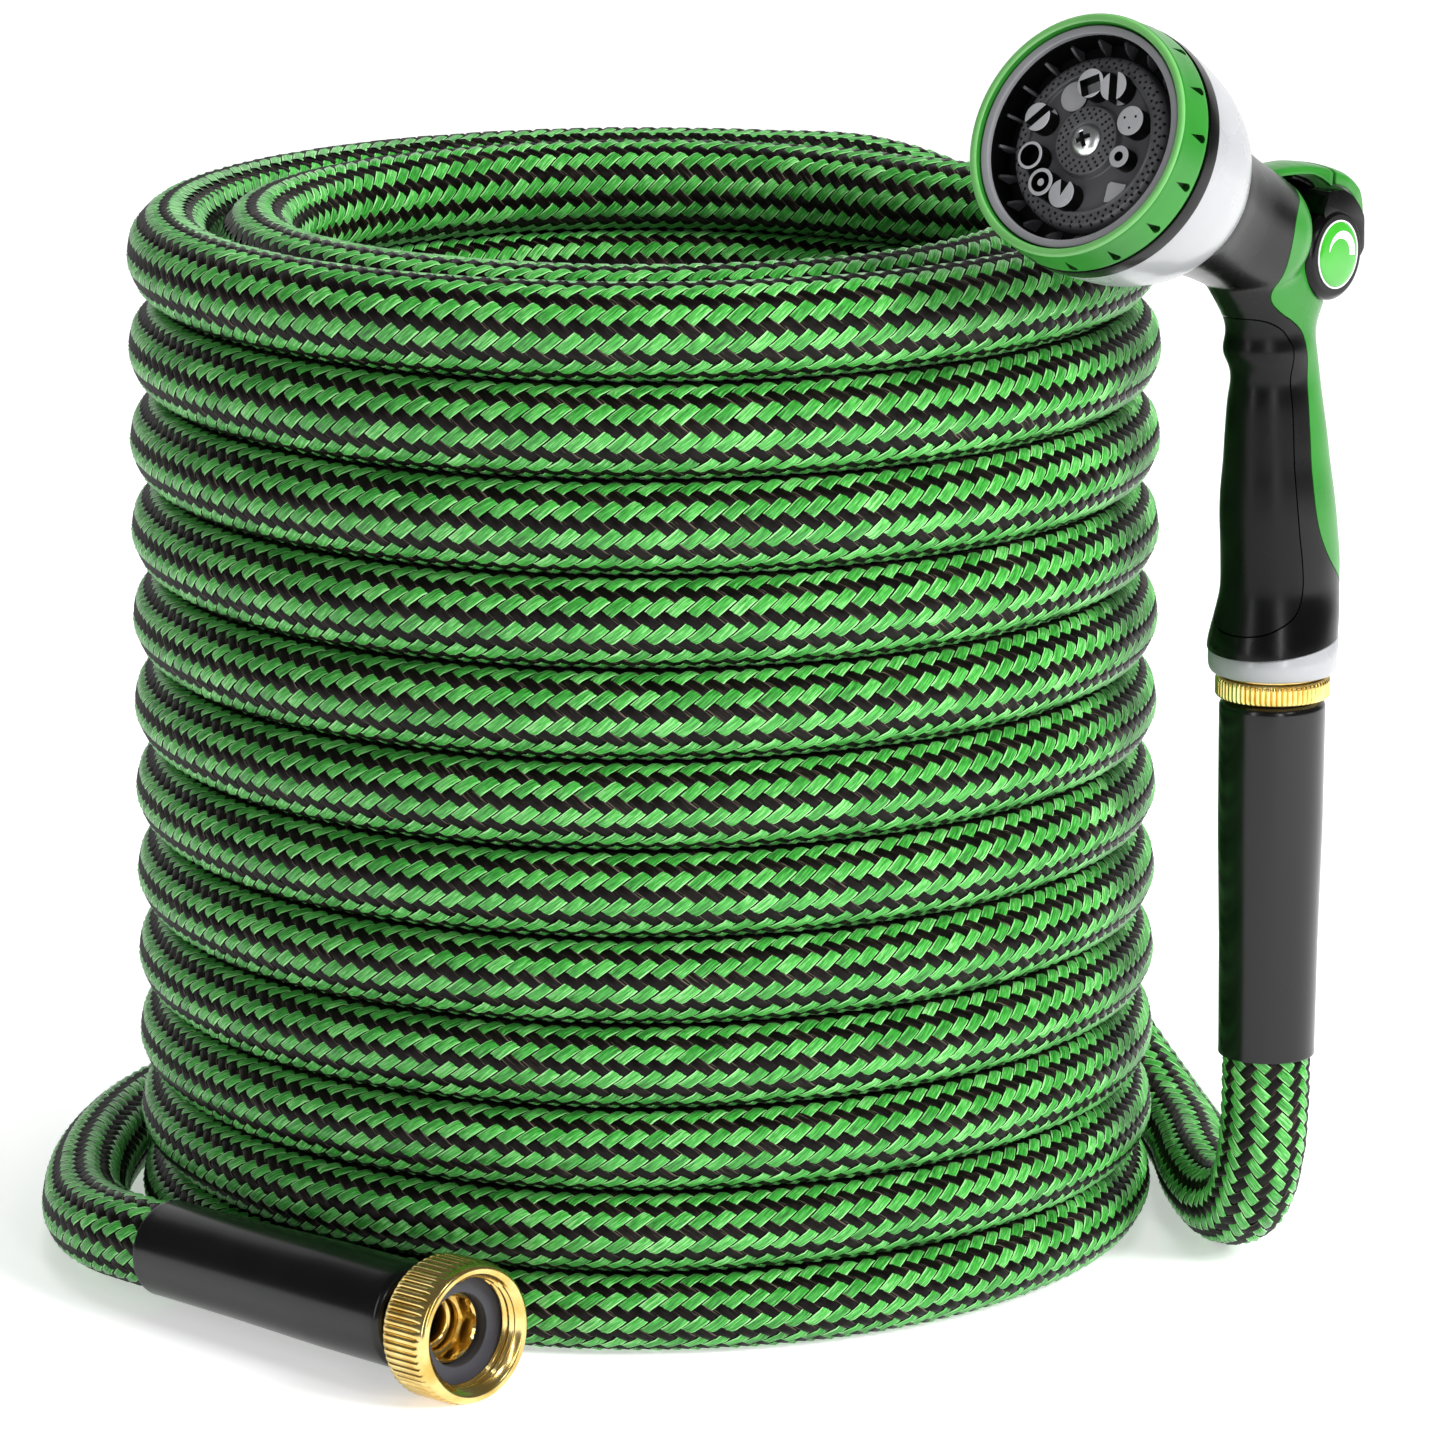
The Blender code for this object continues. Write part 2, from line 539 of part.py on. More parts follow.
def main():
    for leftover in list(bpy.data.objects):
        bpy.data.objects.remove(leftover)
    bpy.context.scene.collection.children.link(parts)
    bpy.context.scene.collection.children.link(cutters)
    coil = guide("coil_axis", Matrix.Translation((COIL_X * MM, COIL_Y * MM, 0)))
    build_coil(coil)
    build_lower_end(coil)
    build_upper_end(coil)
    turn = math.radians(NOZZLE_TURN)
    forward = (-math.sin(turn), -math.cos(turn), 0)
    nozzle = guide("nozzle_place", axis_frame((RISER_X, RISER_Y, COLLAR_Z), (0, 0, 1), forward), coil)
    rise = math.radians(HEAD_RISE)
    head_line = (math.cos(rise), 0, math.sin(rise))
    head = guide("dial_axis", axis_frame((FACE_X, 0, FACE_Z), head_line, (0, 0, 1)), nozzle)
    hub = guide("lever_axis", axis_frame((HUB_X, 0, HUB_Z), (0, 1, 0), (0, 0, 1)), nozzle)
    build_nozzle_body(nozzle, head, hub)
    build_trim(nozzle, head, hub)
    build_head(head)
    build_lever(nozzle, hub)


main()
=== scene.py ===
"""Looks of a coiled garden hose with a dial spray nozzle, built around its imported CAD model.

Every piece stands in metres in the frame of the CAD model. Sizes in the code are in millimetres, as on a
maker's drawing, and MM turns them into metres. Routes and sections are measured from the coil's axis.
"""
import json
import math

import bmesh
import bpy
import numpy as np
from mathutils import Matrix, Vector

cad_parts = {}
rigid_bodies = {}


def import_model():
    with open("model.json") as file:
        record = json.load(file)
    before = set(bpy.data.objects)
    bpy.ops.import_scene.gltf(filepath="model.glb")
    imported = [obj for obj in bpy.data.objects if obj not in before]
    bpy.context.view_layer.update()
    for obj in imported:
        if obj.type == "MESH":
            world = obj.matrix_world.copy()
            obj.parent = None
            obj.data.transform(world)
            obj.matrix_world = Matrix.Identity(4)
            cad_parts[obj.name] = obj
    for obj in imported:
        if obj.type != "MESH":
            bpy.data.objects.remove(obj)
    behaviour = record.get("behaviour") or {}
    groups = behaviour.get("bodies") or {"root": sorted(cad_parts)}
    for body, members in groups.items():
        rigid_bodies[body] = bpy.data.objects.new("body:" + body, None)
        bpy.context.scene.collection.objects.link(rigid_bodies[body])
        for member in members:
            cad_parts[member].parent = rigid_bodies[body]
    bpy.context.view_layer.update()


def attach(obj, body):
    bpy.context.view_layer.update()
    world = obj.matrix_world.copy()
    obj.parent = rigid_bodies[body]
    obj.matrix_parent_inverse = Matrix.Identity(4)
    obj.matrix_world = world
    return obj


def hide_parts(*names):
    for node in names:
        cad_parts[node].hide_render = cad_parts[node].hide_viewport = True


bl_info = {
    "name": "Coiled garden hose",
    "version": (1, 0, 0),
    "blender": (4, 5, 0),
    "location": "View3D > Sidebar > Garden hose",
    "description": "Braided hose, brass couplings and a dial spray nozzle on a fixed CAD frame",
    "category": "Object",
}

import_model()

MM = 0.001
COIL_AXIS = np.array((-12.9, 22.0, 0.0))

# The hose and its coil, as in the part's source
HOSE_R = 11.2
TURN_R, INNER_R = 122.0, 99.8
TURN_COUNT = 12
LOWEST_TURN_H, HIGHEST_TURN_H = 20.6, 24.4
RISER_X, RISER_Y = 159.0, -62.6
SLEEVE_LEN = 91.0
UPPER_SLEEVE_Z = 60.0
COLLAR_Z = 158.5
COLLAR_SLOPE = -5.0 / 33.0
NUT_FACE = np.array((-40.0, -165.5, 17.35))
NUT_TURN, NUT_RISE = 46.0, 1.0
NUT_LEN = 15.5
SLEEVE_TO_NUT = 5.5
NOZZLE_TURN, HEAD_RISE = 39.0, 24.6
FACE_X, FACE_Z = 86.3, 148.3
SHELL_END, BARREL_END = 46.0, 81.0
CORE_R = 9.2
HUB_X, HUB_Z = -7.0, 107.7


def linear(hex_colour):
    """An sRGB hex colour as linear red, green, blue and alpha."""
    values = [int(hex_colour[i:i + 2], 16) / 255 for i in (1, 3, 5)]
    return tuple(v / 12.92 if v <= 0.04045 else ((v + 0.055) / 1.055) ** 2.4 for v in values) + (1.0,)


def add(tree, kind, inputs=None, stops=(), **settings):
    """Adds a shader node with its settings, sets or links each named input, and sets its colour stops."""
    node = tree.nodes.new(kind)
    for i, (position, colour) in enumerate(stops):
        elements = node.color_ramp.elements
        stop = elements[i] if i < 2 else elements.new(position)
        stop.position, stop.color = position, linear(colour)
    for name, value in settings.items():
        setattr(node, name, value)
    for name, value in (inputs or {}).items():
        if isinstance(value, bpy.types.NodeSocket):
            tree.links.new(value, node.inputs[name])
        else:
            node.inputs[name].default_value = value
    return node


def new_material(name):
    """An empty node material and its tree."""
    made = bpy.data.materials.new(name)
    made.use_nodes = True
    made.node_tree.nodes.clear()
    return made, made.node_tree


def finish_material(tree, shader):
    add(tree, "ShaderNodeOutputMaterial", {"Surface": shader.outputs["BSDF"]})


def array_mesh(name, points, faces, materials, face_material=None, smooth=True):
    """A mesh from arrays: points in metres, and quads or triangles of one size."""
    mesh = bpy.data.meshes.new(name)
    points, faces = np.asarray(points, np.float32), np.asarray(faces, np.int32)
    count, corners = faces.shape
    mesh.vertices.add(len(points))
    mesh.vertices.foreach_set("co", points.ravel())
    mesh.loops.add(count * corners)
    mesh.loops.foreach_set("vertex_index", faces.ravel())
    mesh.polygons.add(count)
    mesh.polygons.foreach_set("loop_start", np.arange(0, count * corners, corners, dtype=np.int32))
    mesh.polygons.foreach_set("loop_total", np.full(count, corners, np.int32))
    if face_material is not None:
        mesh.polygons.foreach_set("material_index", np.asarray(face_material, np.int32))
    mesh.update(calc_edges=True)
    mesh.validate()
    for item in materials:
        mesh.materials.append(item)
    if smooth:
        mesh.shade_smooth()
    piece = bpy.data.objects.new(name, mesh)
    bpy.context.scene.collection.objects.link(piece)
    return piece


# The hose's route


def smoothstep(value):
    value = np.clip(value, 0.0, 1.0)
    return value * value * (3 - 2 * value)


def level_place(level):
    """Height of a turn's middle and half its height. Level 1 lies on the floor."""
    heights = LOWEST_TURN_H + (HIGHEST_TURN_H - LOWEST_TURN_H) * np.arange(TURN_COUNT) / (TURN_COUNT - 1)
    middles = np.cumsum(heights) - heights / 2
    steps = np.arange(1, TURN_COUNT + 1)
    return np.interp(level, steps, middles), np.interp(level, steps, heights / 2)


def coil_controls():
    """Points (x, y, z, half height) of the two layers, in the order in which the hose runs.

    It climbs in level turns outside, one ramp of a level at the back right of each. At the top it crosses
    inwards, runs down in eight turns of which the lower ones lie loose, and ends as the lowest outer turn.
    """
    angles = np.concatenate([np.arange(120.0, 7290.0, 15.0), (7302.0, 7314.0, 7327.0)])
    found = []
    for angle in angles:
        ramps = sum(smoothstep((angle - 360 * turn - 15) / 45) for turn in range(1, 11))
        crossing = smoothstep((angle - 3965) / 45)
        drops = sum(smoothstep((angle - start) / 50) for start in (4300, 4660, 5020))
        loose = np.clip((angle - 5070) / 1830, 0.0, 1.0)
        outward = smoothstep((angle - 6930) / 50)
        peel = smoothstep((angle - 7290) / 50)
        level = 2 + ramps - drops - 8 * loose
        z, half = level_place(level)
        slack = smoothstep((angle - 5070) / 200) * smoothstep((6900 - angle) / 200)
        z += slack * 5.3 * math.cos(1.5 * math.radians(angle))
        half += slack * (HOSE_R - half)
        radius = TURN_R + (INNER_R - TURN_R) * (crossing - outward) + 22.9 * peel
        turn = math.radians(angle)
        found.append((radius * math.cos(turn), radius * math.sin(turn), z, half))
    return found


def hose_controls():
    """The whole route: down the riser, round the coil and out to the swivel coupling."""
    riser = [(RISER_X, RISER_Y, z, HOSE_R) for z in (148.0, 120.0, 92.0, 60.0, 50.0)]
    bend = [(158.4, -60.3, 34.0), (155.6, -50.5, 18.0), (150.6, -32.0, 11.5), (146.6, -8.0, 11.4),
            (145.4, 16.0, 11.4), (141.0, 39.0, 13.0), (133.5, 60.5, 19.5), (124.5, 77.5, 28.0),
            (110.6, 93.9, 31.0), (97.0, 107.7, 31.2)]
    join = [(144.0, 60.0), (139.0, 72.0), (131.0, 85.0), (124.0, 100.0)]
    rise = [(r * math.cos(math.radians(a)), r * math.sin(math.radians(a)), 31.1, HOSE_R - 0.3) for r,
            a in join]
    turn, lift = math.radians(NUT_TURN), math.radians(NUT_RISE)
    along = np.array((math.sin(turn) * math.cos(lift), -math.cos(turn) * math.cos(lift), math.sin(lift)))
    tail = [(-110.2, 94.2, 11.3), (-125.5, 72.6, 11.3), (-137.2, 47.5, 11.3), (-143.8, 22.0, 11.3),
            (-146.8, -4.0, 11.3), (-146.6, -29.0, 11.5), (-143.8, -50.0, 12.6), (-137.5, -67.0, 14.0)]
    straight = [tuple(NUT_FACE - along * back) for back in (123.0, 112.0, 81.0, 52.0, 24.0)]
    round_part = [(*point, HOSE_R) for point in bend]
    return riser + round_part + rise + coil_controls() + [(*point, HOSE_R) for point in tail + straight]


def sampled_route(step=6.0):
    """Evenly spaced places on the smooth line through the route's points, with a frame at each.

    Returns the distance along, the place, the outward and the upward direction, and half the height.
    """
    line = np.array(hose_controls())
    line = np.vstack([2 * line[0] - line[1], line, 2 * line[-1] - line[-2]])
    t = (np.arange(16) / 16)[None, :, None]
    before, start, end, after = (line[i:len(line) - 3 + i, None, :] for i in range(4))
    dense = 0.5 * (2 * start + (end - before) * t + (2 * before - 5 * start + 4 * end - after) * t * t
                   + (3 * start - before - 3 * end + after) * t ** 3)
    dense = np.vstack([dense.reshape(-1, 4), line[-2]])
    walked = np.concatenate([[0], np.cumsum(np.linalg.norm(np.diff(dense[:, :3], axis=0), axis=1))])
    distance = np.linspace(0.0, walked[-1], round(walked[-1] / step) + 1)
    place = np.stack([np.interp(distance, walked, dense[:, i]) for i in range(4)], axis=1)
    half = place[:, 3]
    place = place[:, :3] + COIL_AXIS
    ahead = np.gradient(place, axis=0)
    ahead /= np.linalg.norm(ahead, axis=1)[:, None]
    up = np.array((0.0, 0.0, 1.0)) - ahead[:, 2:3] * ahead
    up[np.linalg.norm(up, axis=1) < 0.01] = (1.0, 0.0, 0.0)
    up /= np.linalg.norm(up, axis=1)[:, None]
    level = int(np.argmax(np.abs(ahead[:, 2]) < 0.1))
    for i in range(level - 1, -1, -1):
        turned = up[i + 1] - np.dot(up[i + 1], ahead[i]) * ahead[i]
        up[i] = turned / np.linalg.norm(turned)
    outward = np.cross(ahead, up)
    return distance, place, outward, up, half


ROUTE = sampled_route()


def on_hose(distance, angle, lift):
    """Points on the hose's surface in metres: along it, round it in degrees and lifted off it, in mm."""
    along, place, outward, up, half = ROUTE
    turn = np.radians(angle)
    across = (HOSE_R + lift) * np.cos(turn)
    upward = (np.interp(distance, along, half) + lift) * np.sin(turn)
    found = []
    for axis in range(3):
        middle = np.interp(distance, along, place[:, axis])
        side = np.interp(distance, along, outward[:, axis])
        top = np.interp(distance, along, up[:, axis])
        found.append(middle + across * side + upward * top)
    return np.stack(found, axis=-1) * MM


# The braid: 20 green and 20 black yarns cross, each over two and under two


def float_phase():
    """Number of floats from the hose's start to each place: they are packed closer on the riser."""
    along = ROUTE[0]
    s = bpy.context.scene.hose_settings
    pitch = s.riser_pitch + (s.float_pitch - s.riser_pitch) * smoothstep((along - 60) / 160)
    return np.concatenate([[0], np.cumsum(np.diff(along) / ((pitch[1:] + pitch[:-1]) / 2))])


def braid_piece(name, start, end, sides, rows, columns, materials, seed):
    """Raised floats from one distance to another, on the stripes whose middle angle is in sides.

    rows are places along a float and columns across it, each with its drop below the crown, in mm.
    """
    along = ROUTE[0]
    phase = float_phase()
    first, last = np.interp((start, end), along, phase)
    random = np.random.RandomState(seed)
    grid = np.array([(t, w, max(drop, edge) + 0.35 * min(drop, edge)) for t, drop in rows for w,
                     edge in columns])
    tall, wide = len(rows), len(columns)
    centres, angles, kinds = [], [], []
    for stripe in range(STRIPES):
        angle = (STRIPE_START + STRIPE_STEP * stripe + 180.0) % 360.0 - 180.0
        if sides(angle):
            numbers = np.arange(math.ceil(first), math.ceil(last)) + 0.5 * (stripe % 2)
            centres.append(numbers)
            angles.append(np.full(len(numbers), angle))
            kinds.append(np.full(len(numbers), stripe % 2))
    centres, angles, kinds = (np.concatenate(item) for item in (centres, angles, kinds))
    count = len(centres)
    lean = np.where(kinds == 0, FLOAT_LEAN, -FLOAT_LEAN)
    jitter = random.uniform(-1.0, 1.0, (count, 4))
    t, w, drop = grid[:, 0][None, :], grid[:, 1][None, :], grid[:, 2][None, :]
    t = t * (1 + 0.02 * jitter[:, 0:1])
    w = w * (1 + 0.03 * jitter[:, 1:2])
    places = centres[:, None] + 0.47 * t + 0.53 * w + 0.015 * jitter[:, 2:3]
    turns = angles[:, None] + lean[:, None] * (t - w)
    lift = CROWN + np.where(kinds == 0, 0.08, -0.1)[:, None] - drop + 0.07 * jitter[:, 3:4]
    points = on_hose(np.interp(places, phase, along), turns, lift).reshape(-1, 3)
    quads = []
    for row in range(tall - 1):
        for column in range(wide - 1):
            a = row * wide + column
            quads.append((a, a + 1, a + wide + 1, a + wide))
    quads = np.array(quads)
    faces = quads[None] + (np.arange(count) * tall * wide)[:, None, None]
    flipped = kinds == 1
    faces[flipped] = faces[flipped][:, :, ::-1]
    piece = array_mesh(name, points, faces.reshape(-1, 4), materials, np.repeat(kinds, len(quads)))
    yarn = np.stack([np.broadcast_to(item, (count, tall * wide)) for item in (
        t * 3.0, w * 2.9, 0.5 + 0.5 * jitter[:, 3:4])], axis=-1)
    store = piece.data.attributes.new("yarn", "FLOAT_VECTOR", "POINT")
    store.data.foreach_set("vector", yarn.astype(np.float32).ravel())
    return piece


STRIPE_START, STRIPE_STEP, STRIPES = 28.0, 18.0, 20
FLOAT_LEAN = 10.2
CROWN = 0.2
# Places along a float from its middle to its tucked ends, and across it, each with the drop there
FINE_ROWS = ((-1.05, 1.0), (-0.84, 0.3), (-0.45, 0.03), (0.45, 0.03), (0.84, 0.3), (1.05, 1.0))
FRONT_ROWS = ((-1.08, 0.9), (-0.6, 0.08), (0.6, 0.08), (1.08, 0.9))
FAR_ROWS = ((-1.0, 0.4), (1.0, 0.4))
FINE_COLUMNS = ((-0.45, 0.7), (-0.33, 0.12), (0.0, 0.0), (0.33, 0.12), (0.45, 0.7))
FRONT_COLUMNS = ((-0.44, 0.6), (0.0, 0.0), (0.44, 0.6))


def yarn_material(name, stops, roughness, sheen, specular):
    """Multifilament polyester yarn: fine parallel fibres that shine along their length."""
    made, tree = new_material(name)
    yarn = add(tree, "ShaderNodeAttribute", attribute_name="yarn")
    parts = add(tree, "ShaderNodeSeparateXYZ", {"Vector": yarn.outputs["Vector"]})
    # Filaments are drawn about 0.15 mm wide, coarser than the real 0.03 mm, so that they show
    stretched = add(tree, "ShaderNodeVectorMath", {0: yarn.outputs["Vector"], 1: (0.28, 3.2, 37.0)},
                    operation="MULTIPLY")
    fibres = add(tree, "ShaderNodeTexNoise", {"Vector": stretched.outputs["Vector"], "Scale": 1.0,
                                              "Detail": 3.0,
                                              "Roughness": 0.6})
    # The floats are lightened towards their long edges: a painted highlight on the yarn
    across = add(tree, "ShaderNodeMath", {0: parts.outputs["Y"]}, operation="ABSOLUTE")
    edge = add(tree, "ShaderNodeMapRange", {"Value": across.outputs[0], "From Min": 0.9, "From Max": 1.2,
                                            "To Min": 0.0, "To Max": 0.26})
    tint = add(tree, "ShaderNodeMath", {0: parts.outputs["Z"], 1: 0.16, 2: -0.08}, operation="MULTIPLY_ADD")
    tone = add(tree, "ShaderNodeMath", {0: fibres.outputs["Fac"], 1: tint.outputs[0]}, operation="ADD")
    bright = add(tree, "ShaderNodeMath", {0: tone.outputs[0], 1: edge.outputs[0]}, operation="ADD")
    colour = add(tree, "ShaderNodeValToRGB", {"Fac": bright.outputs[0]}, stops)
    bump = add(tree, "ShaderNodeBump", {"Height": fibres.outputs["Fac"], "Strength": 0.55,
                                        "Distance": 0.0002})
    shader = add(tree, "ShaderNodeBsdfPrincipled", {
        "Base Color": colour.outputs["Color"], "Roughness": roughness, "IOR": 1.5,
        "Specular IOR Level": specular,
        "Sheen Weight": sheen, "Sheen Roughness": 0.4, "Normal": bump.outputs["Normal"]})
    finish_material(tree, shader)
    return made


def core_material():
    """The braid's under-layer, which shows only between the yarns: near black, as painted shade in the gaps.
    """
    made, tree = new_material("black_yarn_under_layer")
    place = add(tree, "ShaderNodeTexCoord")
    grain = add(tree, "ShaderNodeTexNoise", {"Vector": place.outputs["Object"], "Scale": 900.0,
                                             "Detail": 2.0})
    colour = add(tree, "ShaderNodeValToRGB", {"Fac": grain.outputs["Fac"]},
                 [(0.3, "#050605"), (0.7, "#10140F")])
    shader = add(tree, "ShaderNodeBsdfPrincipled", {"Base Color": colour.outputs["Color"], "Roughness": 0.85,
                                                    "IOR": 1.5})
    finish_material(tree, shader)
    return made


# Frames and solid shapes


def frame_at(origin, along, side):
    """A frame at a point in mm, with Z along one direction and X near another."""
    z = Vector(along).normalized()
    y = z.cross(Vector(side)).normalized()
    matrix = Matrix((y.cross(z), y, z)).transposed().to_4x4()
    matrix.translation = Vector(origin) * MM
    return matrix


def shift(x, y, z):
    return Matrix.Translation(Vector((x, y, z)) * MM)


def nut_line(more_turn, more_rise):
    turn, rise = math.radians(NUT_TURN + more_turn), math.radians(NUT_RISE + more_rise)
    return (math.sin(turn) * math.cos(rise), -math.cos(turn) * math.cos(rise), math.sin(rise))


HEAD_LINE = (math.cos(math.radians(HEAD_RISE)), 0.0, math.sin(math.radians(HEAD_RISE)))
FORWARD = (-math.sin(math.radians(NOZZLE_TURN)), -math.cos(math.radians(NOZZLE_TURN)), 0.0)
NOZZLE = frame_at(COIL_AXIS + (RISER_X, RISER_Y, COLLAR_Z), (0, 0, 1), FORWARD)
HEAD = NOZZLE @ frame_at((FACE_X, 0, FACE_Z), HEAD_LINE, (0, 0, 1))
HUB = NOZZLE @ frame_at((HUB_X, 0, HUB_Z), (0, 1, 0), (0, 0, 1))
TAIL = frame_at(COIL_AXIS + NUT_FACE, nut_line(0.0, 0.0), (0, 0, 1))
# The loose nut hangs 3 degrees askew on its tailpiece
NUT = frame_at(COIL_AXIS + NUT_FACE, nut_line(-2.6, 1.6), (0, 0, 1))
LOWER_SLEEVE = TAIL @ shift(0, 0, -NUT_LEN - SLEEVE_TO_NUT)
UPPER_SLEEVE = shift(*(COIL_AXIS + (RISER_X, RISER_Y, UPPER_SLEEVE_Z + SLEEVE_LEN)))


def rounded(profile, radius, steps=4, closed=True):
    """The profile with its corners rounded. A point may carry its own radius as a third value."""
    count, found = len(profile), []
    for i, corner in enumerate(profile):
        reach = corner[2] if len(corner) > 2 else radius
        here = Vector(corner[:2])
        if reach <= 0 or (not closed and i in (0, count - 1)):
            found.append(tuple(here))
            continue
        back, ahead = Vector(profile[i - 1][:2]) - here, Vector(profile[(i + 1) % count][:2]) - here
        cut = min(reach, 0.45 * back.length, 0.45 * ahead.length)
        start, end = here + back.normalized() * cut, here + ahead.normalized() * cut
        for k in range(steps + 1):
            t = k / steps
            found.append(tuple(start * (1 - t) ** 2 + here * (2 * t * (1 - t)) + end * t * t))
    return found


def bmesh_piece(name, work, matrix, materials, sharp=40.0):
    """Turns a bmesh in mm into a named piece in place, with its faces outwards."""
    bmesh.ops.remove_doubles(work, verts=work.verts, dist=0.0005)
    bmesh.ops.recalc_face_normals(work, faces=work.faces)
    mesh = bpy.data.meshes.new(name)
    work.to_mesh(mesh)
    work.free()
    mesh.transform(matrix @ Matrix.Scale(MM, 4))
    for item in materials if isinstance(materials, list) else [materials]:
        mesh.materials.append(item)
    mesh.shade_smooth()
    mesh.set_sharp_from_angle(angle=math.radians(sharp))
    piece = bpy.data.objects.new(name, mesh)
    bpy.context.scene.collection.objects.link(piece)
    return piece


def skin(work, rings, closed=True):
    """Faces between successive rings of like points. closed joins the last ring to the first."""
    rows = [[work.verts.new(point) for point in ring] for ring in rings]
    pairs = list(zip(rows, rows[1:])) + ([(rows[-1], rows[0])] if closed else [])
    count = len(rows[0])
    for low, high in pairs:
        for i in range(count):
            j = (i + 1) % count
            work.faces.new((low[i], low[j], high[j], high[i]))
    return rows


def lathe(name, profile, matrix, material, sides=96, shape=None, closed=True, sharp=40.0):
    """A turned piece from (radius, height) points. shape may change the radius by angle and height."""
    work = bmesh.new()
    turns = np.arange(sides) * math.tau / sides
    rings = []
    for radius, height in profile:
        r, h = np.full(sides, float(radius)), np.full(sides, float(height))
        if shape:
            r, h = shape(r, h, turns)
        rings.append(list(zip(r * np.cos(turns), r * np.sin(turns), h)))
    skin(work, rings, closed)
    return bmesh_piece(name, work, matrix, material, sharp)


def prism(name, outline, low, high, matrix, material, upright=False):
    """An outline with straight sides. upright puts it in the frame's X and Z, thick along Y."""
    work = bmesh.new()
    rings = []
    for level in (low, high):
        rings.append([(x, level, y) if upright else (x, y, level) for x, y in outline])
    rows = skin(work, rings, False)
    for row in rows:
        work.faces.new(row)
    return bmesh_piece(name, work, matrix, material)


def loft(name, rings, matrix, material, sharp=40.0):
    work = bmesh.new()
    rows = skin(work, rings, False)
    work.faces.new(rows[0])
    work.faces.new(rows[-1])
    return bmesh_piece(name, work, matrix, material, sharp)


def applied(piece):
    """Replaces a piece's mesh with what its modifiers make of it."""
    view = bpy.context.evaluated_depsgraph_get()
    mesh = bpy.data.meshes.new_from_object(piece.evaluated_get(view))
    piece.modifiers.clear()
    piece.data = mesh
    return piece


def combine(piece, others, operation="DIFFERENCE"):
    """Cuts the other pieces away, joins them or keeps what is shared, and removes them."""
    for other in others:
        modifier = piece.modifiers.new(other.name, "BOOLEAN")
        modifier.operation = operation
        modifier.object = other
        modifier.solver = "EXACT"
    applied(piece)
    for other in others:
        bpy.data.objects.remove(other)
    return piece


def softened(piece, width, segments=2, angle=35.0, sharp=40.0):
    """Rounds the hard edges of a piece, in mm, and keeps its flat faces flat in the shading."""
    bevel = piece.modifiers.new("edges", "BEVEL")
    bevel.width = width * MM
    bevel.segments = segments
    bevel.limit_method = "ANGLE"
    bevel.angle_limit = math.radians(angle)
    bevel.harden_normals = False
    applied(piece)
    piece.data.shade_smooth()
    piece.data.set_sharp_from_angle(angle=math.radians(sharp))
    return piece


def joined(name, pieces):
    """One piece out of several, which keep their materials."""
    work = bmesh.new()
    materials = []
    for piece in pieces:
        for item in piece.data.materials:
            if item not in materials:
                materials.append(item)
        first = len(work.faces)
        work.from_mesh(piece.data)
        work.faces.ensure_lookup_table()
        for face in work.faces[first:]:
            face.material_index = materials.index(piece.data.materials[face.material_index])
    mesh = bpy.data.meshes.new(name)
    work.to_mesh(mesh)
    work.free()
    for item in materials:
        mesh.materials.append(item)
    for piece in pieces:
        bpy.data.objects.remove(piece)
    made = bpy.data.objects.new(name, mesh)
    bpy.context.scene.collection.objects.link(made)
    return made


def settle(piece, body, slot, *nodes):
    """Rides a piece on its body and hides the CAD nodes that it stands for; slot is not used."""
    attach(piece, body)
    if nodes:
        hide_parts(*nodes)
    return piece


# Materials


def moulded(name, dark, light, roughness, grain, coat=0.0, specular=0.5):
    """Injection-moulded plastic: one colour with a faint mottle and a fine grain from the mould."""
    made, tree = new_material(name)
    place = add(tree, "ShaderNodeTexCoord").outputs["Object"]
    mottle = add(tree, "ShaderNodeTexNoise", {"Vector": place, "Scale": 55.0, "Detail": 4.0})
    colour = add(tree, "ShaderNodeValToRGB", {"Fac": mottle.outputs["Fac"]}, [(0.3, dark), (0.7, light)])
    # Mould grain of about 0.4 mm, coarser than the real 0.1 mm, so that it shows
    fine = add(tree, "ShaderNodeTexNoise", {"Vector": place, "Scale": 2600.0, "Detail": 2.0})
    gloss = add(tree, "ShaderNodeMapRange", {"Value": mottle.outputs["Fac"], "From Min": 0.3, "From Max": 0.7,
                                             "To Min": roughness * 0.88, "To Max": roughness * 1.15})
    bump = add(tree, "ShaderNodeBump", {"Height": fine.outputs["Fac"], "Strength": grain,
                                        "Distance": 0.00004})
    shader = add(tree, "ShaderNodeBsdfPrincipled", {
        "Base Color": colour.outputs["Color"], "Roughness": gloss.outputs[0], "IOR": 1.53,
        "Specular IOR Level": specular, "Coat Weight": coat, "Coat Roughness": 0.08,
        "Normal": bump.outputs["Normal"]})
    finish_material(tree, shader)
    return made


def machined(name, dark, light, roughness, lines):
    """Turned and polished metal with faint tool lines and a slightly uneven tarnish."""
    made, tree = new_material(name)
    place = add(tree, "ShaderNodeTexCoord").outputs["Object"]
    tarnish = add(tree, "ShaderNodeTexNoise", {"Vector": place, "Scale": 160.0, "Detail": 5.0})
    colour = add(tree, "ShaderNodeValToRGB", {"Fac": tarnish.outputs["Fac"]}, [(0.32, dark), (0.66, light)])
    tool = add(tree, "ShaderNodeTexNoise", {"Vector": place, "Scale": lines, "Detail": 2.0})
    gloss = add(tree, "ShaderNodeMapRange", {"Value": tarnish.outputs["Fac"], "From Min": 0.3,
                                             "From Max": 0.7,
                                             "To Min": roughness * 1.3, "To Max": roughness * 0.8})
    bump = add(tree, "ShaderNodeBump", {"Height": tool.outputs["Fac"], "Strength": 0.12, "Distance": 0.00003})
    shader = add(tree, "ShaderNodeBsdfPrincipled", {
        "Base Color": colour.outputs["Color"], "Metallic": 1.0, "Roughness": gloss.outputs[0],
        "Normal": bump.outputs["Normal"]})
    finish_material(tree, shader)
    return made


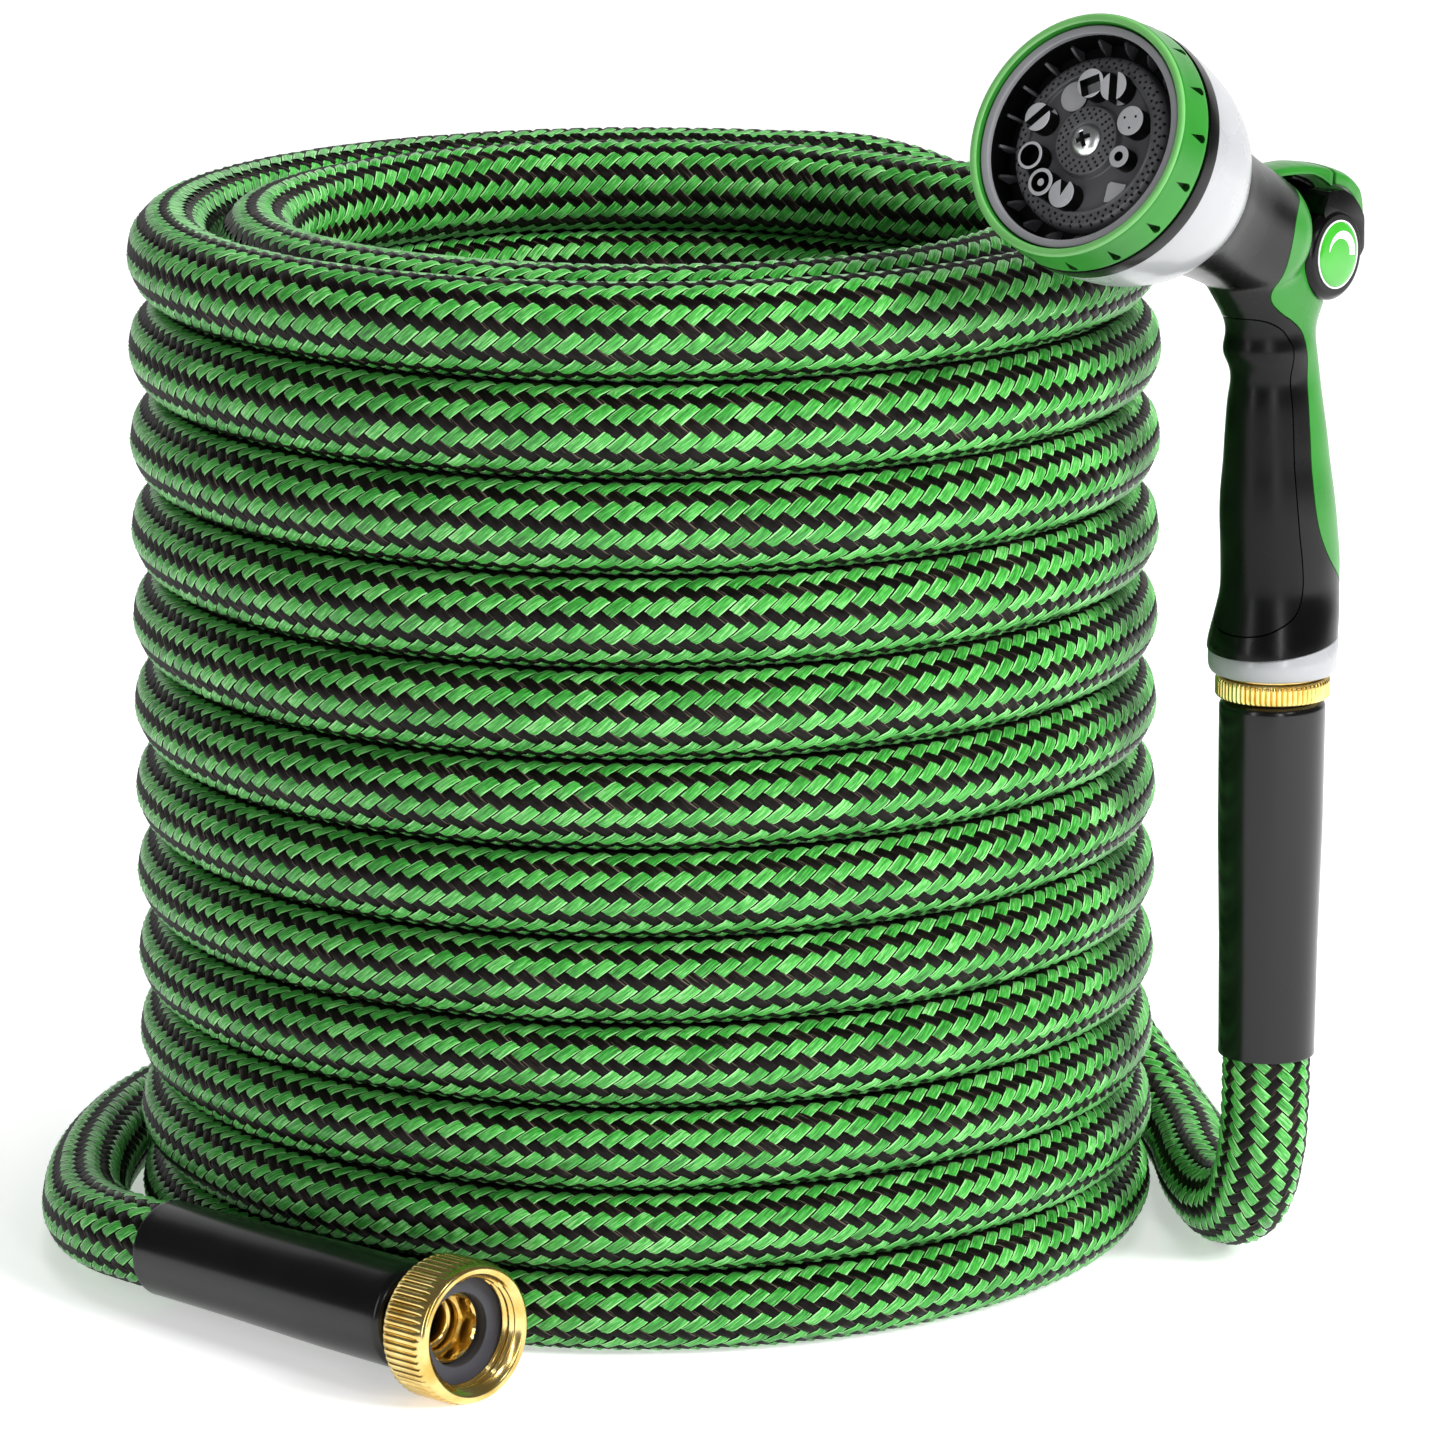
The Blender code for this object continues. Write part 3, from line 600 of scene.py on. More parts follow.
def finishes():
    """Every plastic and metal of the fittings and the nozzle, by its common name."""
    if FINISH:
        return FINISH
    paint = bpy.context.scene.nozzle_settings
    # Heat-shrunk PVC sleeve: smooth, nearly black, with long soft highlights
    FINISH["pvc"] = moulded("black_pvc_sleeve", "#030304", "#070708", 0.24, 0.05, 0.1, 0.35)
    # Satin leaf-green ABS: saturated, with soft highlights on its rounded edges
    FINISH["green"] = moulded("green_moulded_abs", paint.green, paint.green_light, 0.3, 0.05, 0.0, 0.3)
    # The same ABS on the bezel's front rim: paler as a painted highlight, and glossier
    FINISH["edge"] = moulded("polished_green_abs_rim", "#66AB5C", "#74B96A", 0.25, 0.03, 0.1)
    # The same ABS darkened for the bezel's pressed drops: painted shade, as they lie in shade
    FINISH["dark_green"] = moulded("dark_green_moulded_abs", "#0B330C", "#10400F", 0.4, 0.1)
    # Bright gloss ABS of the hub buttons, with a clear reflection
    FINISH["button"] = moulded("button_green_abs", "#2F9420", "#3AA32A", 0.22, 0.03, 0.4)
    # Satin black ABS of the barrel and the frame of the grip: deep, with narrow highlights
    FINISH["black"] = moulded("black_moulded_abs", "#020202", "#040404", 0.26, 0.06, 0.05, 0.2)
    # Soft black TPE over the grip: a little duller, so that its highlights spread
    FINISH["grip"] = moulded("black_tpe_grip", "#020203", "#050505", 0.3, 0.16, 0.0, 0.2)
    # Silver-white lacquer on ABS: bright, smooth and slightly cool
    FINISH["silver"] = moulded("silver_white_lacquer", paint.silver, paint.silver_light, 0.28, 0.03, 0.3)
    # White pad-printed lacquer of the buttons' rings and arcs: clean and even
    FINISH["white"] = moulded("white_printed_lacquer", "#E6E7E8", "#F0F1F1", 0.3, 0.03)
    # Grey ABS of the dial's dotted plate: satin, with a light grain
    FINISH["dial"] = moulded("grey_moulded_abs", "#4E4E51", "#5C5C60", 0.32, 0.12)
    # Darker grey ABS of the ribs: their edges show as thin lines in the black channel
    FINISH["rib"] = moulded("dark_grey_moulded_abs", "#3A3A3D", "#48484C", 0.3, 0.12)
    # Mid-grey ABS of the liner: a plain, smooth ring
    FINISH["liner"] = moulded("liner_grey_abs", "#828286", "#8E8E92", 0.3, 0.1, 0.1)
    # Pale grey ABS on the outlets' faces: smooth and bright against the near-black painted shade of their
    # sides
    FINISH["face"] = moulded("outlet_face_grey_abs", "#9C9CA0", "#ACACB0", 0.28, 0.05, 0.1)
    # Black ABS in the dial's depths, also painted shade on the outlets' sides and bores and in the screw's
    # cross recess: dull, with almost no reflection
    FINISH["deep"] = moulded("shaded_black_abs", "#020202", "#040404", 0.45, 0.1, 0.0, 0.15)
    # EPDM washer: matt dark grey rubber
    FINISH["washer"] = moulded("grey_epdm_rubber", "#34343A", "#3F3F46", 0.5, 0.3)
    # Polished yellow brass: pale gold with bright knurled edges
    FINISH["brass"] = machined("polished_yellow_brass", "#D9B45C", "#F4DB92", 0.2, 1800.0)
    # Zinc-plated steel screw: cool and bright
    FINISH["steel"] = machined("zinc_plated_steel", "#D6D7D9", "#EEEFF0", 0.3, 60.0)
    return FINISH


FINISH = {}


# Pieces of the couplings


def ridge_shape(count, depth, low, high, fade):
    """Rounded grip ridges round a drum between two heights. Its flanks take six places per ridge."""
    def shape(r, h, turns):
        place = (turns * count / math.tau) % 1.0
        valley = 1 - smoothstep(np.minimum(place, 1 - place) / 0.24)
        near = smoothstep((h - low) / fade) * smoothstep((high - h) / fade)
        return r - depth * valley * near * (r > (16.0 if count < 60 else 13.5)), h
    return shape


def sleeve(name, matrix, top=0.0):
    """A shrunk sleeve: rounded shoulder in front, long gentle taper, thin rolled rear edge."""
    profile = [(9.5, top, 0.0), (11.7, top + 0.2, 1.0), (13.5, top - 1.3, 1.6), (13.45, -9.0, 3.0),
               (13.35, -30.0, 3.0),
               (12.6, -62.0, 3.0), (12.3, -SLEEVE_LEN + 2.2, 1.5), (12.35, -SLEEVE_LEN, 0.5),
               (11.5, -SLEEVE_LEN, 0.3), (11.5, -3.0, 0.5), (9.5, -3.0, 0.0)]
    return lathe(name, rounded(profile, 0.5), matrix, finishes()["pvc"])


def thread_shape(radius, crest, pitch, low, high):
    """A helical thread in a bore: crests stand inwards between two heights."""
    def shape(r, h, turns):
        inside = np.abs(r - radius) < 0.01
        phase = ((h - low) / pitch - turns / math.tau) % 1.0
        wave = np.clip(1.35 - 3.6 * np.abs(phase - 0.5), 0.0, 1.0)
        near = smoothstep((h - low) / 0.8) * smoothstep((high - h) / 0.8)
        return np.where(inside, r - crest * wave * near, r), h
    return shape


def build_lower_fittings():
    """The swivel nut, its washer and the tailpiece, whose bore has an eight-sided mouth."""
    face = finishes()
    back = -NUT_LEN
    outer = [(15.5, 0.0), (16.3, 0.1), (17.0, -0.3), (17.35, -1.0), (17.4, -1.9)]
    outer += [(17.9, h) for h in np.linspace(-2.7, back + 1.5, 9)] + [(17.0, back + 0.5), (16.0, back)]
    inner = [(9.5, back), (9.5, back + 2.5)]
    inner += [(14.5, h) for h in np.linspace(back + 2.5, -1.3, 34)] + [(14.8, -0.6), (15.1, -0.15)]
    ridges = ridge_shape(56, 0.75, back + 0.6, -2.0, 0.7)
    threads = thread_shape(14.5, 0.95, 2.5, back + 6.6, -0.5)

    def shape(r, h, turns):
        return threads(*ridges(r, h, turns), turns)

    nut = lathe("swivel_nut_knurled", outer + inner, NUT, face["brass"], 336, shape, sharp=50.0)
    settle(nut, "nut", "brass", "swivel_nut")
    seat = back + 2.8
    ring = [(14.1, seat + 6.2, 0.4), (14.1, seat + 2.3, 0.0), (9.2, seat + 2.3, 0.0), (9.2, seat + 6.2, 0.5)]
    washer = lathe("washer_ring", rounded(ring, 0.4), NUT, face["washer"])
    settle(washer, "nut", "washer", "hose_washer")

    def octagon(r, h, turns):
        flat = np.cos((turns % (math.pi / 4)) - math.pi / 8)
        return np.where((r > 6.9) & (r < 8.35) & (h > seat - 0.4) & (h < seat + 3.7), r * 0.95 / flat, r), h

    front = back - SLEEVE_TO_NUT
    bore = [(11.8, seat + 2.0), (8.9, seat + 2.0), (8.8, seat + 3.9), (8.4, seat + 4.0), (8.2, seat + 3.6)]
    bore += [(8.0, seat + 2.6), (7.9, seat + 0.4), (7.8, seat - 0.3), (6.7, seat - 0.5), (6.5, seat - 0.8)]
    bore += [(6.4, seat - 3.2), (5.6, seat - 3.5), (5.4, seat - 3.8), (5.3, seat - 6.5), (4.9, front - 3.0)]
    stem = [(9.2, front - 3.0), (9.2, front + 0.4), (9.0, front + 1.0), (9.0, seat - 1.0), (9.2, seat),
            (11.8, seat)]
    tail = lathe("tailpiece_stepped", bore + stem, TAIL, face["brass"], 120, octagon)
    settle(tail, "hose", "brass", "lower_tailpiece")
    return [nut, washer, tail]


def build_upper_fittings():
    """The knurled ring of the male coupling with its smooth shoulder under the nozzle."""
    profile = [(6.5, 15.5), (6.5, -3.5), (9.2, -3.5), (9.2, 2.45), (13.6, 2.5), (14.2, 2.8)]
    profile += [(14.55, h) for h in np.linspace(3.3, 7.2, 6)] + [(14.2, 7.7), (13.6, 8.0), (12.9, 8.1)]
    profile += [(12.9, 15.0), (12.4, 15.5)]
    ring = lathe("male_coupling_knurled", profile, UPPER_SLEEVE, finishes()["brass"], 384,
                 ridge_shape(64, 0.62, 2.6, 7.9, 0.6), sharp=50.0)
    settle(ring, "hose", "brass", "male_coupling")


# Pieces of the nozzle


def handle_form():
    """The smooth outer form of the grip, the neck and the barrel, before it is divided by its seams."""
    sections = np.array([(-6.0, 0.6, 16.6, 16.6), (2.0, 0.6, 16.7, 16.7), (9.3, 0.6, 16.9, 16.4),
                         (16.0, -1.3, 16.9, 15.4), (22.7, -2.5, 16.8, 14.1), (29.4, -2.5, 16.9, 14.2),
                         (36.1, -1.8, 16.7, 14.0), (42.8, -1.0, 16.4, 13.9), (49.4, -0.4, 15.8, 13.4),
                         (56.1, 0.0, 15.0, 12.6), (62.7, 0.4, 14.5, 12.1), (69.4, 1.0, 13.8, 11.4),
                         (76.0, 1.5, 13.1, 10.8), (82.6, 2.3, 12.7, 10.5), (88.2, 3.2, 12.4, 10.3),
                         (91.5, 3.4, 13.4, 10.4), (94.5, 3.0, 16.2, 10.6), (98.0, 3.6, 18.8, 10.8),
                         (104.0, 6.4, 21.6, 11.0), (109.0, 7.0, 20.0, 10.6), (114.0, 10.0, 13.0, 9.0)])
    levels = np.linspace(-6.0, 114.0, 121)
    rows = np.stack([levels] + [np.interp(levels, sections[:, 0], sections[:, k]) for k in (1, 2, 3)], axis=1)
    kernel = np.array((1, 2, 3, 4, 3, 2, 1)) / 16
    for k in (1, 2, 3):
        rows[:, k] = np.convolve(np.pad(rows[:, k], 3, "edge"), kernel, "valid")
    turns = np.arange(72) * math.tau / 72
    rings = []
    for level, forward, deep, wide in rows:
        swell = 1.9 * math.exp(-((level - 84.8) / 3.4) ** 2) - 0.9 * math.exp(-((level - 77.5) / 4.0) ** 2)
        bulge = swell * np.clip(np.cos(turns) + 0.35, 0.0, 1.0)
        x = forward + (deep + bulge) * np.cos(turns)
        y = (wide + 0.55 * bulge) * np.sin(turns)
        rings.append(list(zip(x, y, np.full(72, level))))
    grip = loft("grip_form", rings, NOZZLE, finishes()["black"])
    line = [(0.0, -SHELL_END + 4, 0.0), (20.6, -SHELL_END + 4, 0.0), (20.3, -SHELL_END - 1.0, 2.0),
            (18.5, -SHELL_END - 8.0, 4.0), (17.0, -SHELL_END - 17.0, 5.0), (16.1, -BARREL_END + 2.0, 5.0),
            (15.9, -BARREL_END - 1.5, 1.0), (14.8, -BARREL_END - 5.0, 1.0), (12.6, -BARREL_END - 8.4, 1.0),
            (9.5, -BARREL_END - 11.0, 1.0), (5.0, -BARREL_END - 12.8, 1.0), (0.0, -BARREL_END - 13.2, 0.0)]
    barrel = lathe("barrel_form", rounded(line, 1.0, 5, False), HEAD, finishes()["black"], 72, closed=False)
    combine(grip, [barrel], "UNION")
    remesh = grip.modifiers.new("even", "REMESH")
    remesh.mode = "VOXEL"
    remesh.voxel_size = 0.8 * MM
    relax = grip.modifiers.new("fillets", "SMOOTH")
    relax.factor = 0.5
    relax.iterations = 14
    applied(grip)
    front = lathe("shell_side", [(0.0, 40.0), (60.0, 40.0), (60.0, -SHELL_END - 0.25),
                                 (0.0, -SHELL_END - 0.25)],
                  HEAD, finishes()["black"], 64, closed=False)
    seam = [(-40.0, 9.5 + 0.3 - COLLAR_SLOPE * 40), (40.0, 9.5 + 0.3 + COLLAR_SLOPE * 40), (40.0, -30.0),
            (-40.0, -30.0)]
    below = prism("below_collar_seam", seam, -40, 40, NOZZLE, finishes()["black"], upright=True)
    return combine(grip, [front, below])


def smooth_line(points, steps=6):
    """A smooth line through the points."""
    line = [Vector(point) for point in points]
    line = [2 * line[0] - line[1]] + line + [2 * line[-1] - line[-2]]
    found = []
    for a, b, c, d in zip(line, line[1:], line[2:], line[3:]):
        for k in range(steps):
            t = k / steps
            found.append(tuple(0.5 * (2 * b + (c - a) * t + (2 * a - 5 * b + 4 * c - d) * t * t
                                      + (3 * b - a - 3 * c + d) * t ** 3)))
    return found + [tuple(line[-2])]


def inset(outline, distance):
    """The open outline moved sideways, to its left as it runs."""
    points = [Vector(point) for point in outline]
    found = []
    for i, point in enumerate(points):
        run = (points[min(i + 1, len(points) - 1)] - points[max(i - 1, 0)]).normalized()
        found.append((point.x - run.y * distance, point.y + run.x * distance))
    return found


def build_grip(face):
    """Grip pad, black frame with the barrel, and the green back, cut from one form along their seams."""
    pad_seam = smooth_line([(26.0, 93.6), (17.5, 94.2), (11.5, 91.6), (8.6, 87.8), (7.8, 84.3), (7.5, 73.0),
                            (7.6, 55.0), (7.1, 43.0), (5.6, 31.0), (5.5, 24.0), (7.6, 19.0), (11.9, 15.4),
                            (16.0, 13.2), (24.0, 10.8)])
    trim_seam = smooth_line([(-6.0, 136.0), (2.6, 130.0), (8.7, 125.1), (13.2, 122.8), (16.2, 120.0),
                             (17.7, 116.0),
                             (17.9, 111.2), (17.0, 105.5), (16.5, 102.3), (16.2, 100.0), (14.9, 98.0),
                             (11.6, 95.3), (7.9, 92.9), (4.6, 89.8), (3.0, 85.3), (2.3, 78.0), (2.5, 54.5),
                             (1.2, 41.7), (-3.1, 32.6), (-9.4, 26.2), (-20.0, 18.4)])
    half = 0.16

    def side(name, seam, distance, closing):
        return prism(name, inset(seam, distance) + closing, -40, 40, NOZZLE, face["black"], upright=True)

    front_close, back_close = [(50.0, 10.0), (50.0, 93.0)], [(-50.0, 18.0), (-50.0, 170.0)]
    form = handle_form()
    pad, trim = form.copy(), form.copy()
    for piece, name, key in ((pad, "grip_pad_soft", "grip"), (trim, "handle_back_green", "green")):
        piece.data = form.data.copy()
        piece.data.materials.clear()
        piece.data.materials.append(face[key])
        piece.name = name
        bpy.context.scene.collection.objects.link(piece)
    combine(pad, [side("pad_side", pad_seam, half, front_close)], "INTERSECT")
    combine(trim, [side("trim_side", trim_seam, -half, back_close)], "INTERSECT")
    combine(form, [side("pad_cut", pad_seam, -half, front_close), side("trim_cut", trim_seam, half,
                                                                       back_close)])
    form.name = "handle_frame_black"
    core = lathe("core", [(0.0, -BARREL_END + 9), (CORE_R, -BARREL_END + 9), (CORE_R, -95.0), (0.0, -95.0)],
                 HEAD,
                 face["black"], 48, closed=False)
    # The valve housing behind the barrel, stepped under the lever, between the arms of its yoke
    block = [(-3.0, 15.4), (3.0, 15.4), (3.2, 10.8), (5.2, 10.6), (6.4, 9.9), (7.6, 7.2), (8.8, 3.4),
             (9.6, 0.0),
             (10.1, -3.6), (9.6, -5.6), (6.5, -7.9), (3.8, -9.9), (0.7, -11.2), (-3.0, -10.6), (-7.0, -7.5),
             (-9.0, 0.0), (-8.0, 8.0)]
    block = [(x + HUB_X, z + HUB_Z) for x, z in block]
    housing = prism("housing", rounded(block, 0.5, 3), -9.3, 9.3, NOZZLE, face["black"], upright=True)
    softened(housing, 0.3, 2, 50.0)
    hollow = inset(block[1:13], -0.25) + [(-3.0 + HUB_X, -12.5 + HUB_Z), (-30.0, HUB_Z - 12.5),
                                          (-30.0, 150.0),
                                          (3.0 + HUB_X, 150.0)]
    socket = lathe("socket", [(0.0, 16.0), (13.3, 16.0), (13.3, -9.0), (0.0, -9.0)], NOZZLE, face["black"],
                   64,
                   closed=False)
    combine(form, [core, housing], "UNION")
    combine(form, [socket])
    bore = lathe("core_bore", [(0.0, -60.0), (CORE_R + 0.3, -60.0), (CORE_R + 0.3, -105.0), (0.0, -105.0)],
                 HEAD,
                 face["black"], 48, closed=False)
    clear = prism("housing_clearance", hollow, -30, 30, NOZZLE, face["black"], upright=True)
    combine(trim, [bore, clear])
    for piece in (pad, trim, form):
        piece.data.shade_smooth()
        piece.data.set_sharp_from_angle(angle=math.radians(30.0))
    settle(form, "hose", "black_plastic", "handle_body")
    settle(pad, "hose", "grip", "grip_pad")
    settle(trim, "hose", "green_plastic", "handle_trim")

    def sloped(r, h, turns):
        top_at = 9.5 + COLLAR_SLOPE * (r * np.cos(turns))
        return r, np.where(h > 6.0, top_at - (11.0 - h), h)

    ring = [(13.3, 11.0), (13.3, 1.3), (14.8, 1.3), (15.7, 1.7), (16.2, 2.5), (16.45, 3.6), (16.5, 4.6),
            (16.5, 10.6),
            (16.2, 11.0)]
    collar = lathe("collar_silver", ring, NOZZLE, face["silver"], 96, sloped)
    settle(collar, "hose", "silver", "inlet_collar")


def build_lever(face):
    """The thumb lever: a crowned green cap in two parts on a black yoke, with a button on each side."""
    hub = HUB @ shift(0.6, 0.2, 0.0)

    def shell(name, start, end, reach, half, crown, side):
        """Rings from one angle about the hub to another; reach, half and crown follow the angle."""
        rings = []
        for angle in np.linspace(start, end, 22):
            far, wide, drop, wall = (np.interp(angle, *item) for item in (reach, half, crown, side))
            turn = math.radians(angle)
            edge = [(-wide, far - drop - wall), (-wide, far - drop - 0.6), (-wide * 0.93, far - drop)]
            over = [(wide * k, far - drop * abs(k) ** 2.2) for k in np.linspace(-0.8, 0.8, 11)]
            under = [(wide * k * 0.86, far - 1.7 - drop * abs(k) ** 2.2) for k in np.linspace(0.9, -0.9, 11)]
            line = edge + over + [(-y, r) for y, r in reversed(edge)]
            line += [(wide - 1.5, far - drop - wall)] + under + [(1.5 - wide, far - drop - wall)]
            rings.append([(r * math.cos(turn), y, r * math.sin(turn)) for y, r in line])
        made = loft(name, rings, NOZZLE @ shift(HUB_X, 0, HUB_Z), face["green"], 30.0)
        return softened(made, 0.35, 2, 50.0, 45.0)

    angles = (52, 58, 66, 76, 86, 92, 97)
    front = shell("lever_cap_front", 52, 96, (angles, (28.9, 27.3, 25.6, 24.1, 23.1, 22.6, 22.3)),
                  (angles, (3.6, 4.6, 5.3, 6.0, 7.2, 8.6, 9.6)),
                  (angles, (0.6, 0.8, 0.9, 1.0, 1.1, 1.2, 1.2)),
                  ((52, 84, 90, 97), (1.8, 1.8, 2.6, 4.2)))
    rear = shell("lever_cap_rear", 97, 154, ((97, 105, 130, 154), (22.5, 22.3, 21.8, 20.9)),
                 ((97, 110, 130, 154), (10.2, 10.7, 10.4, 8.6)), ((97, 154), (1.5, 1.7)),
                 ((97, 154), (3.2, 3.4)))
    settle(front, "lever", "green_plastic", "lever_cap")
    settle(rear, "lever", "green_plastic")
    # The black rib under the front of the cap, which runs down to the housing
    rib = [(8.0, 20.9), (5.0, 20.2), (1.0, 18.9), (-1.6, 17.4), (-3.4, 14.9), (-1.9, 14.0), (-0.3, 15.9),
           (2.0, 17.4),
           (5.0, 18.7), (8.0, 19.5)]
    rib = [(x + HUB_X, z + HUB_Z) for x, z in rounded(rib, 0.8, 3)]
    under = softened(prism("lever_rib", rib, -4.2, 4.2, NOZZLE, face["black"], upright=True), 0.4, 3, 50.0)
    settle(under, "lever", "black_plastic")

    arm = [(3.0, 4.0, 0.5), (5.6, 11.7, 0.6), (4.3, 14.2, 0.5), (3.3, 16.7, 0.6), (-3.0, 16.4, 1.5),
           (-5.2, 15.4, 2.0),
           (-8.0, 13.6, 2.0), (-10.2, 11.4, 2.0), (-12.2, 8.6, 1.0), (-12.4, 0.6, 1.0), (-8.0, -4.0),
           (0.0, -4.0)]
    arm = [(x + HUB_X, z + HUB_Z) for x, z in rounded(arm, 2.0)]
    yoke = prism("lever_yoke_black", arm, -12.2, 12.2, NOZZLE, face["black"], upright=True)
    disc = [(0.0, -12.7, 0.0), (10.3, -12.7, 0.5), (11.7, -11.3, 1.4), (11.7, 11.3, 1.4), (10.3, 12.7, 0.5),
            (0.0, 12.7, 0.0)]
    discs = lathe("hub_discs", rounded(disc, 0.4, 4, False), hub, face["black"], 96, closed=False)
    inside = lathe("inside", [(0.0, 9.5), (15.6, 9.5), (15.6, -9.5), (0.0, -9.5)], HUB, face["black"], 64,
                   closed=False)
    combine(yoke, [discs], "UNION")
    combine(yoke, [inside])
    softened(yoke, 0.35, 2, 50.0, 45.0)
    settle(yoke, "lever", "black_plastic", "lever_yoke")
    for name, side, node in (("left", 1, "lever_button_left"), ("right", -1, "lever_button_right")):
        dome = [(0.0, 12.7), (8.1, 12.7), (8.1, 12.95), (7.8, 13.2), (7.0, 13.4), (5.0, 13.6), (2.5, 13.75),
                (0.0, 13.8)]
        turned = hub @ Matrix.Diagonal((1, 1, side, 1))
        button = lathe("button_" + name, dome, turned, face["button"], 96, closed=False)
        rim = [(8.2, 12.6), (8.6, 12.6), (8.6, 12.95), (8.4, 13.05), (8.2, 12.95)]
        edge = lathe("rim_" + name, rim, turned, face["white"], 96)
        # A plain tapered flow arc, widest at its open end
        sweep = [(math.radians(165 - 172 * k / 24), 0.1 + 1.15 * math.sin(math.pi * min(k / 24 * 0.55, 0.5)))
                 for k in range(25)]
        outer = [((5.0 + w) * math.sin(a), -(5.0 + w) * math.cos(a)) for a, w in sweep]
        inner = [((5.0 - w) * math.sin(a), -(5.0 - w) * math.cos(a)) for a, w in reversed(sweep)]
        mark = prism("arc_" + name, outer + inner, 12.9, 13.66, turned, face["white"])
        whole = joined("button_set_" + name, [button, edge, mark])
        settle(whole, "lever", "green_plastic", node)


def teardrop(length, radius):
    """A drop outline round its own middle, its tip towards -X."""
    points = [(-length * 0.62, 0.0)]
    for k in range(11):
        angle = math.radians(-118 + 236 * k / 10)
        points.append((radius * math.cos(angle) + length * 0.25, radius * math.sin(angle)))
    return points


def build_head(face):
    """The silver-white cup, the black band and the dial with its rim, liner, ribs and face."""
    e = SHELL_END
    cup = [(31.1, -14.7, 0.3), (30.8, -20.0, 3.0), (29.2, -30.0, 4.0), (26.0, -38.5, 3.0), (20.9, -e, 0.5),
           (5.5, -e, 0.0), (5.5, -e + 2.0, 0.0), (19.4, -e + 2.2, 0.5), (24.5, -37.5, 2.0),
           (28.0, -29.0, 2.0),
           (29.4, -20.0, 2.0), (29.5, -14.7, 0.2)]
    shell = lathe("cup_silver", rounded(cup, 0.4, 5), HEAD, face["silver"], 128)
    settle(shell, "hose", "silver", "head_shell")
    band = [(31.6, -10.1, 0.3), (31.5, -14.6, 0.5), (28.2, -14.6, 0.2), (28.2, -10.1, 0.2)]
    settle(lathe("band_black", rounded(band, 0.3), HEAD, face["black"], 128), "hose", "black_plastic",
           "seal_band")

    ring = [(28.4, -0.1, 0.3), (28.9, 0.35, 0.4), (30.0, 0.35, 0.4), (30.7, -0.3, 0.6), (30.8, -2.4, 2.0),
            (31.5, -8.8, 0.8),
            (31.1, -9.9, 0.4), (28.0, -9.9, 0.2), (28.1, -3.2, 0.2)]
    bezel = lathe("bezel_green", rounded(ring, 0.4, 4), HEAD, [face["green"], face["dark_green"],
                                                               face["edge"]], 128)
    # The drop cutters carry the dark green, painted shade for the drops' hollows
    cutters = []
    for k in range(16):
        turn = Matrix.Rotation(math.tau * (k + 0.35) / 16, 4, "Z")
        lay = Matrix(((0, 0, 1, 0), (0, 1, 0, 0), (-1, 0, 0, 0), (0, 0, 0, 1)))
        place = HEAD @ turn @ shift(0, 0, -6.0) @ lay
        cutters.append(prism("drop", teardrop(4.9, 1.05), 29.5, 36.0, place, face["dark_green"]))
    drops = joined("drops", cutters)
    combine(bezel, [drops])
    axis = Vector(HEAD.col[2][:3])
    # Rim faces turned forwards take the paler green: a painted highlight
    for polygon in bezel.data.polygons:
        level = (HEAD.inverted() @ polygon.center).z / MM
        if polygon.normal @ axis > 0.6 and level > -0.6:
            polygon.material_index = 2
    bezel.data.shade_smooth()
    bezel.data.set_sharp_from_angle(angle=math.radians(35.0))
    settle(bezel, "dial", "green_plastic", "dial_bezel")

    liner = [(27.9, -0.9, 0.4), (27.9, -2.6, 0.0), (25.9, -2.6, 0.2), (25.9, -1.0, 0.4)]
    settle(lathe("liner_ring", rounded(liner, 0.4), HEAD, face["liner"], 128), "dial", "dial_grey",
           "dial_liner")
    floor = [(27.9, -2.7), (27.9, -12.0), (2.1, -12.0), (2.1, -9.7), (25.4, -9.7), (25.6, -9.2), (25.7, -2.7)]
    base = lathe("base_black", floor, HEAD, face["deep"], 96)
    ribs = []
    for k in range(20):
        turn = Matrix.Rotation(math.tau * (k + 0.5) / 20, 4, "Z")
        outline = [(22.2, -9.75), (25.5, -9.75), (25.5, -4.6), (24.9, -4.4), (23.6, -6.0), (22.4, -8.6)]
        ribs.append(prism("rib", outline, -0.35, 0.35, HEAD @ turn, face["rib"], upright=True))
    settle(joined("base_and_ribs", [base] + ribs), "dial", "dial_grey", "dial_base")

    plate = [(2.1, -4.4, 0.0), (4.2, -4.4, 0.2), (4.7, -4.1, 0.3), (8.6, -4.3, 0.3), (9.1, -6.3, 0.3),
             (17.3, -6.4, 0.2), (17.6, -5.3, 0.2), (18.0, -5.3, 0.2), (18.2, -5.6, 0.2), (20.4, -5.8, 1.2),
             (21.6, -6.6, 1.0), (22.1, -8.4, 0.5), (22.1, -9.65, 0.0), (2.1, -9.65, 0.0)]
    disc = lathe("face_dotted", rounded(plate, 0.3, 3), HEAD, face["dial"], 128)
    dots = []
    for radius, count, offset in ((5.6, 18, 0.0), (6.7, 22, 0.5), (7.8, 26, 0.0), (18.9, 56, 0.0),
                                  (20.0, 56, 0.5), (21.0, 44, 0.25)):
        for k in range(count):
            angle = math.tau * (k + offset) / count
            dots.append((radius * math.cos(angle), radius * math.sin(angle)))
    work = bmesh.new()
    for x, y in dots:
        outline = [(x + 0.42 * math.cos(math.tau * i / 8), y + 0.42 * math.sin(math.tau * i / 8))
                   for i in range(8)]
        rows = skin(work, [[(a, b, level) for a, b in outline] for level in (-8.6, 2.0)], False)
        for row in rows:
            work.faces.new(row)
    holes = bmesh_piece("holes", work, HEAD, face["deep"])
    combine(disc, [holes])
    disc.data.shade_smooth()
    disc.data.set_sharp_from_angle(angle=math.radians(35.0))
    settle(disc, "dial", "dial_grey", "face_plate")
    settle(build_outlets(face), "dial", "dial_grey")

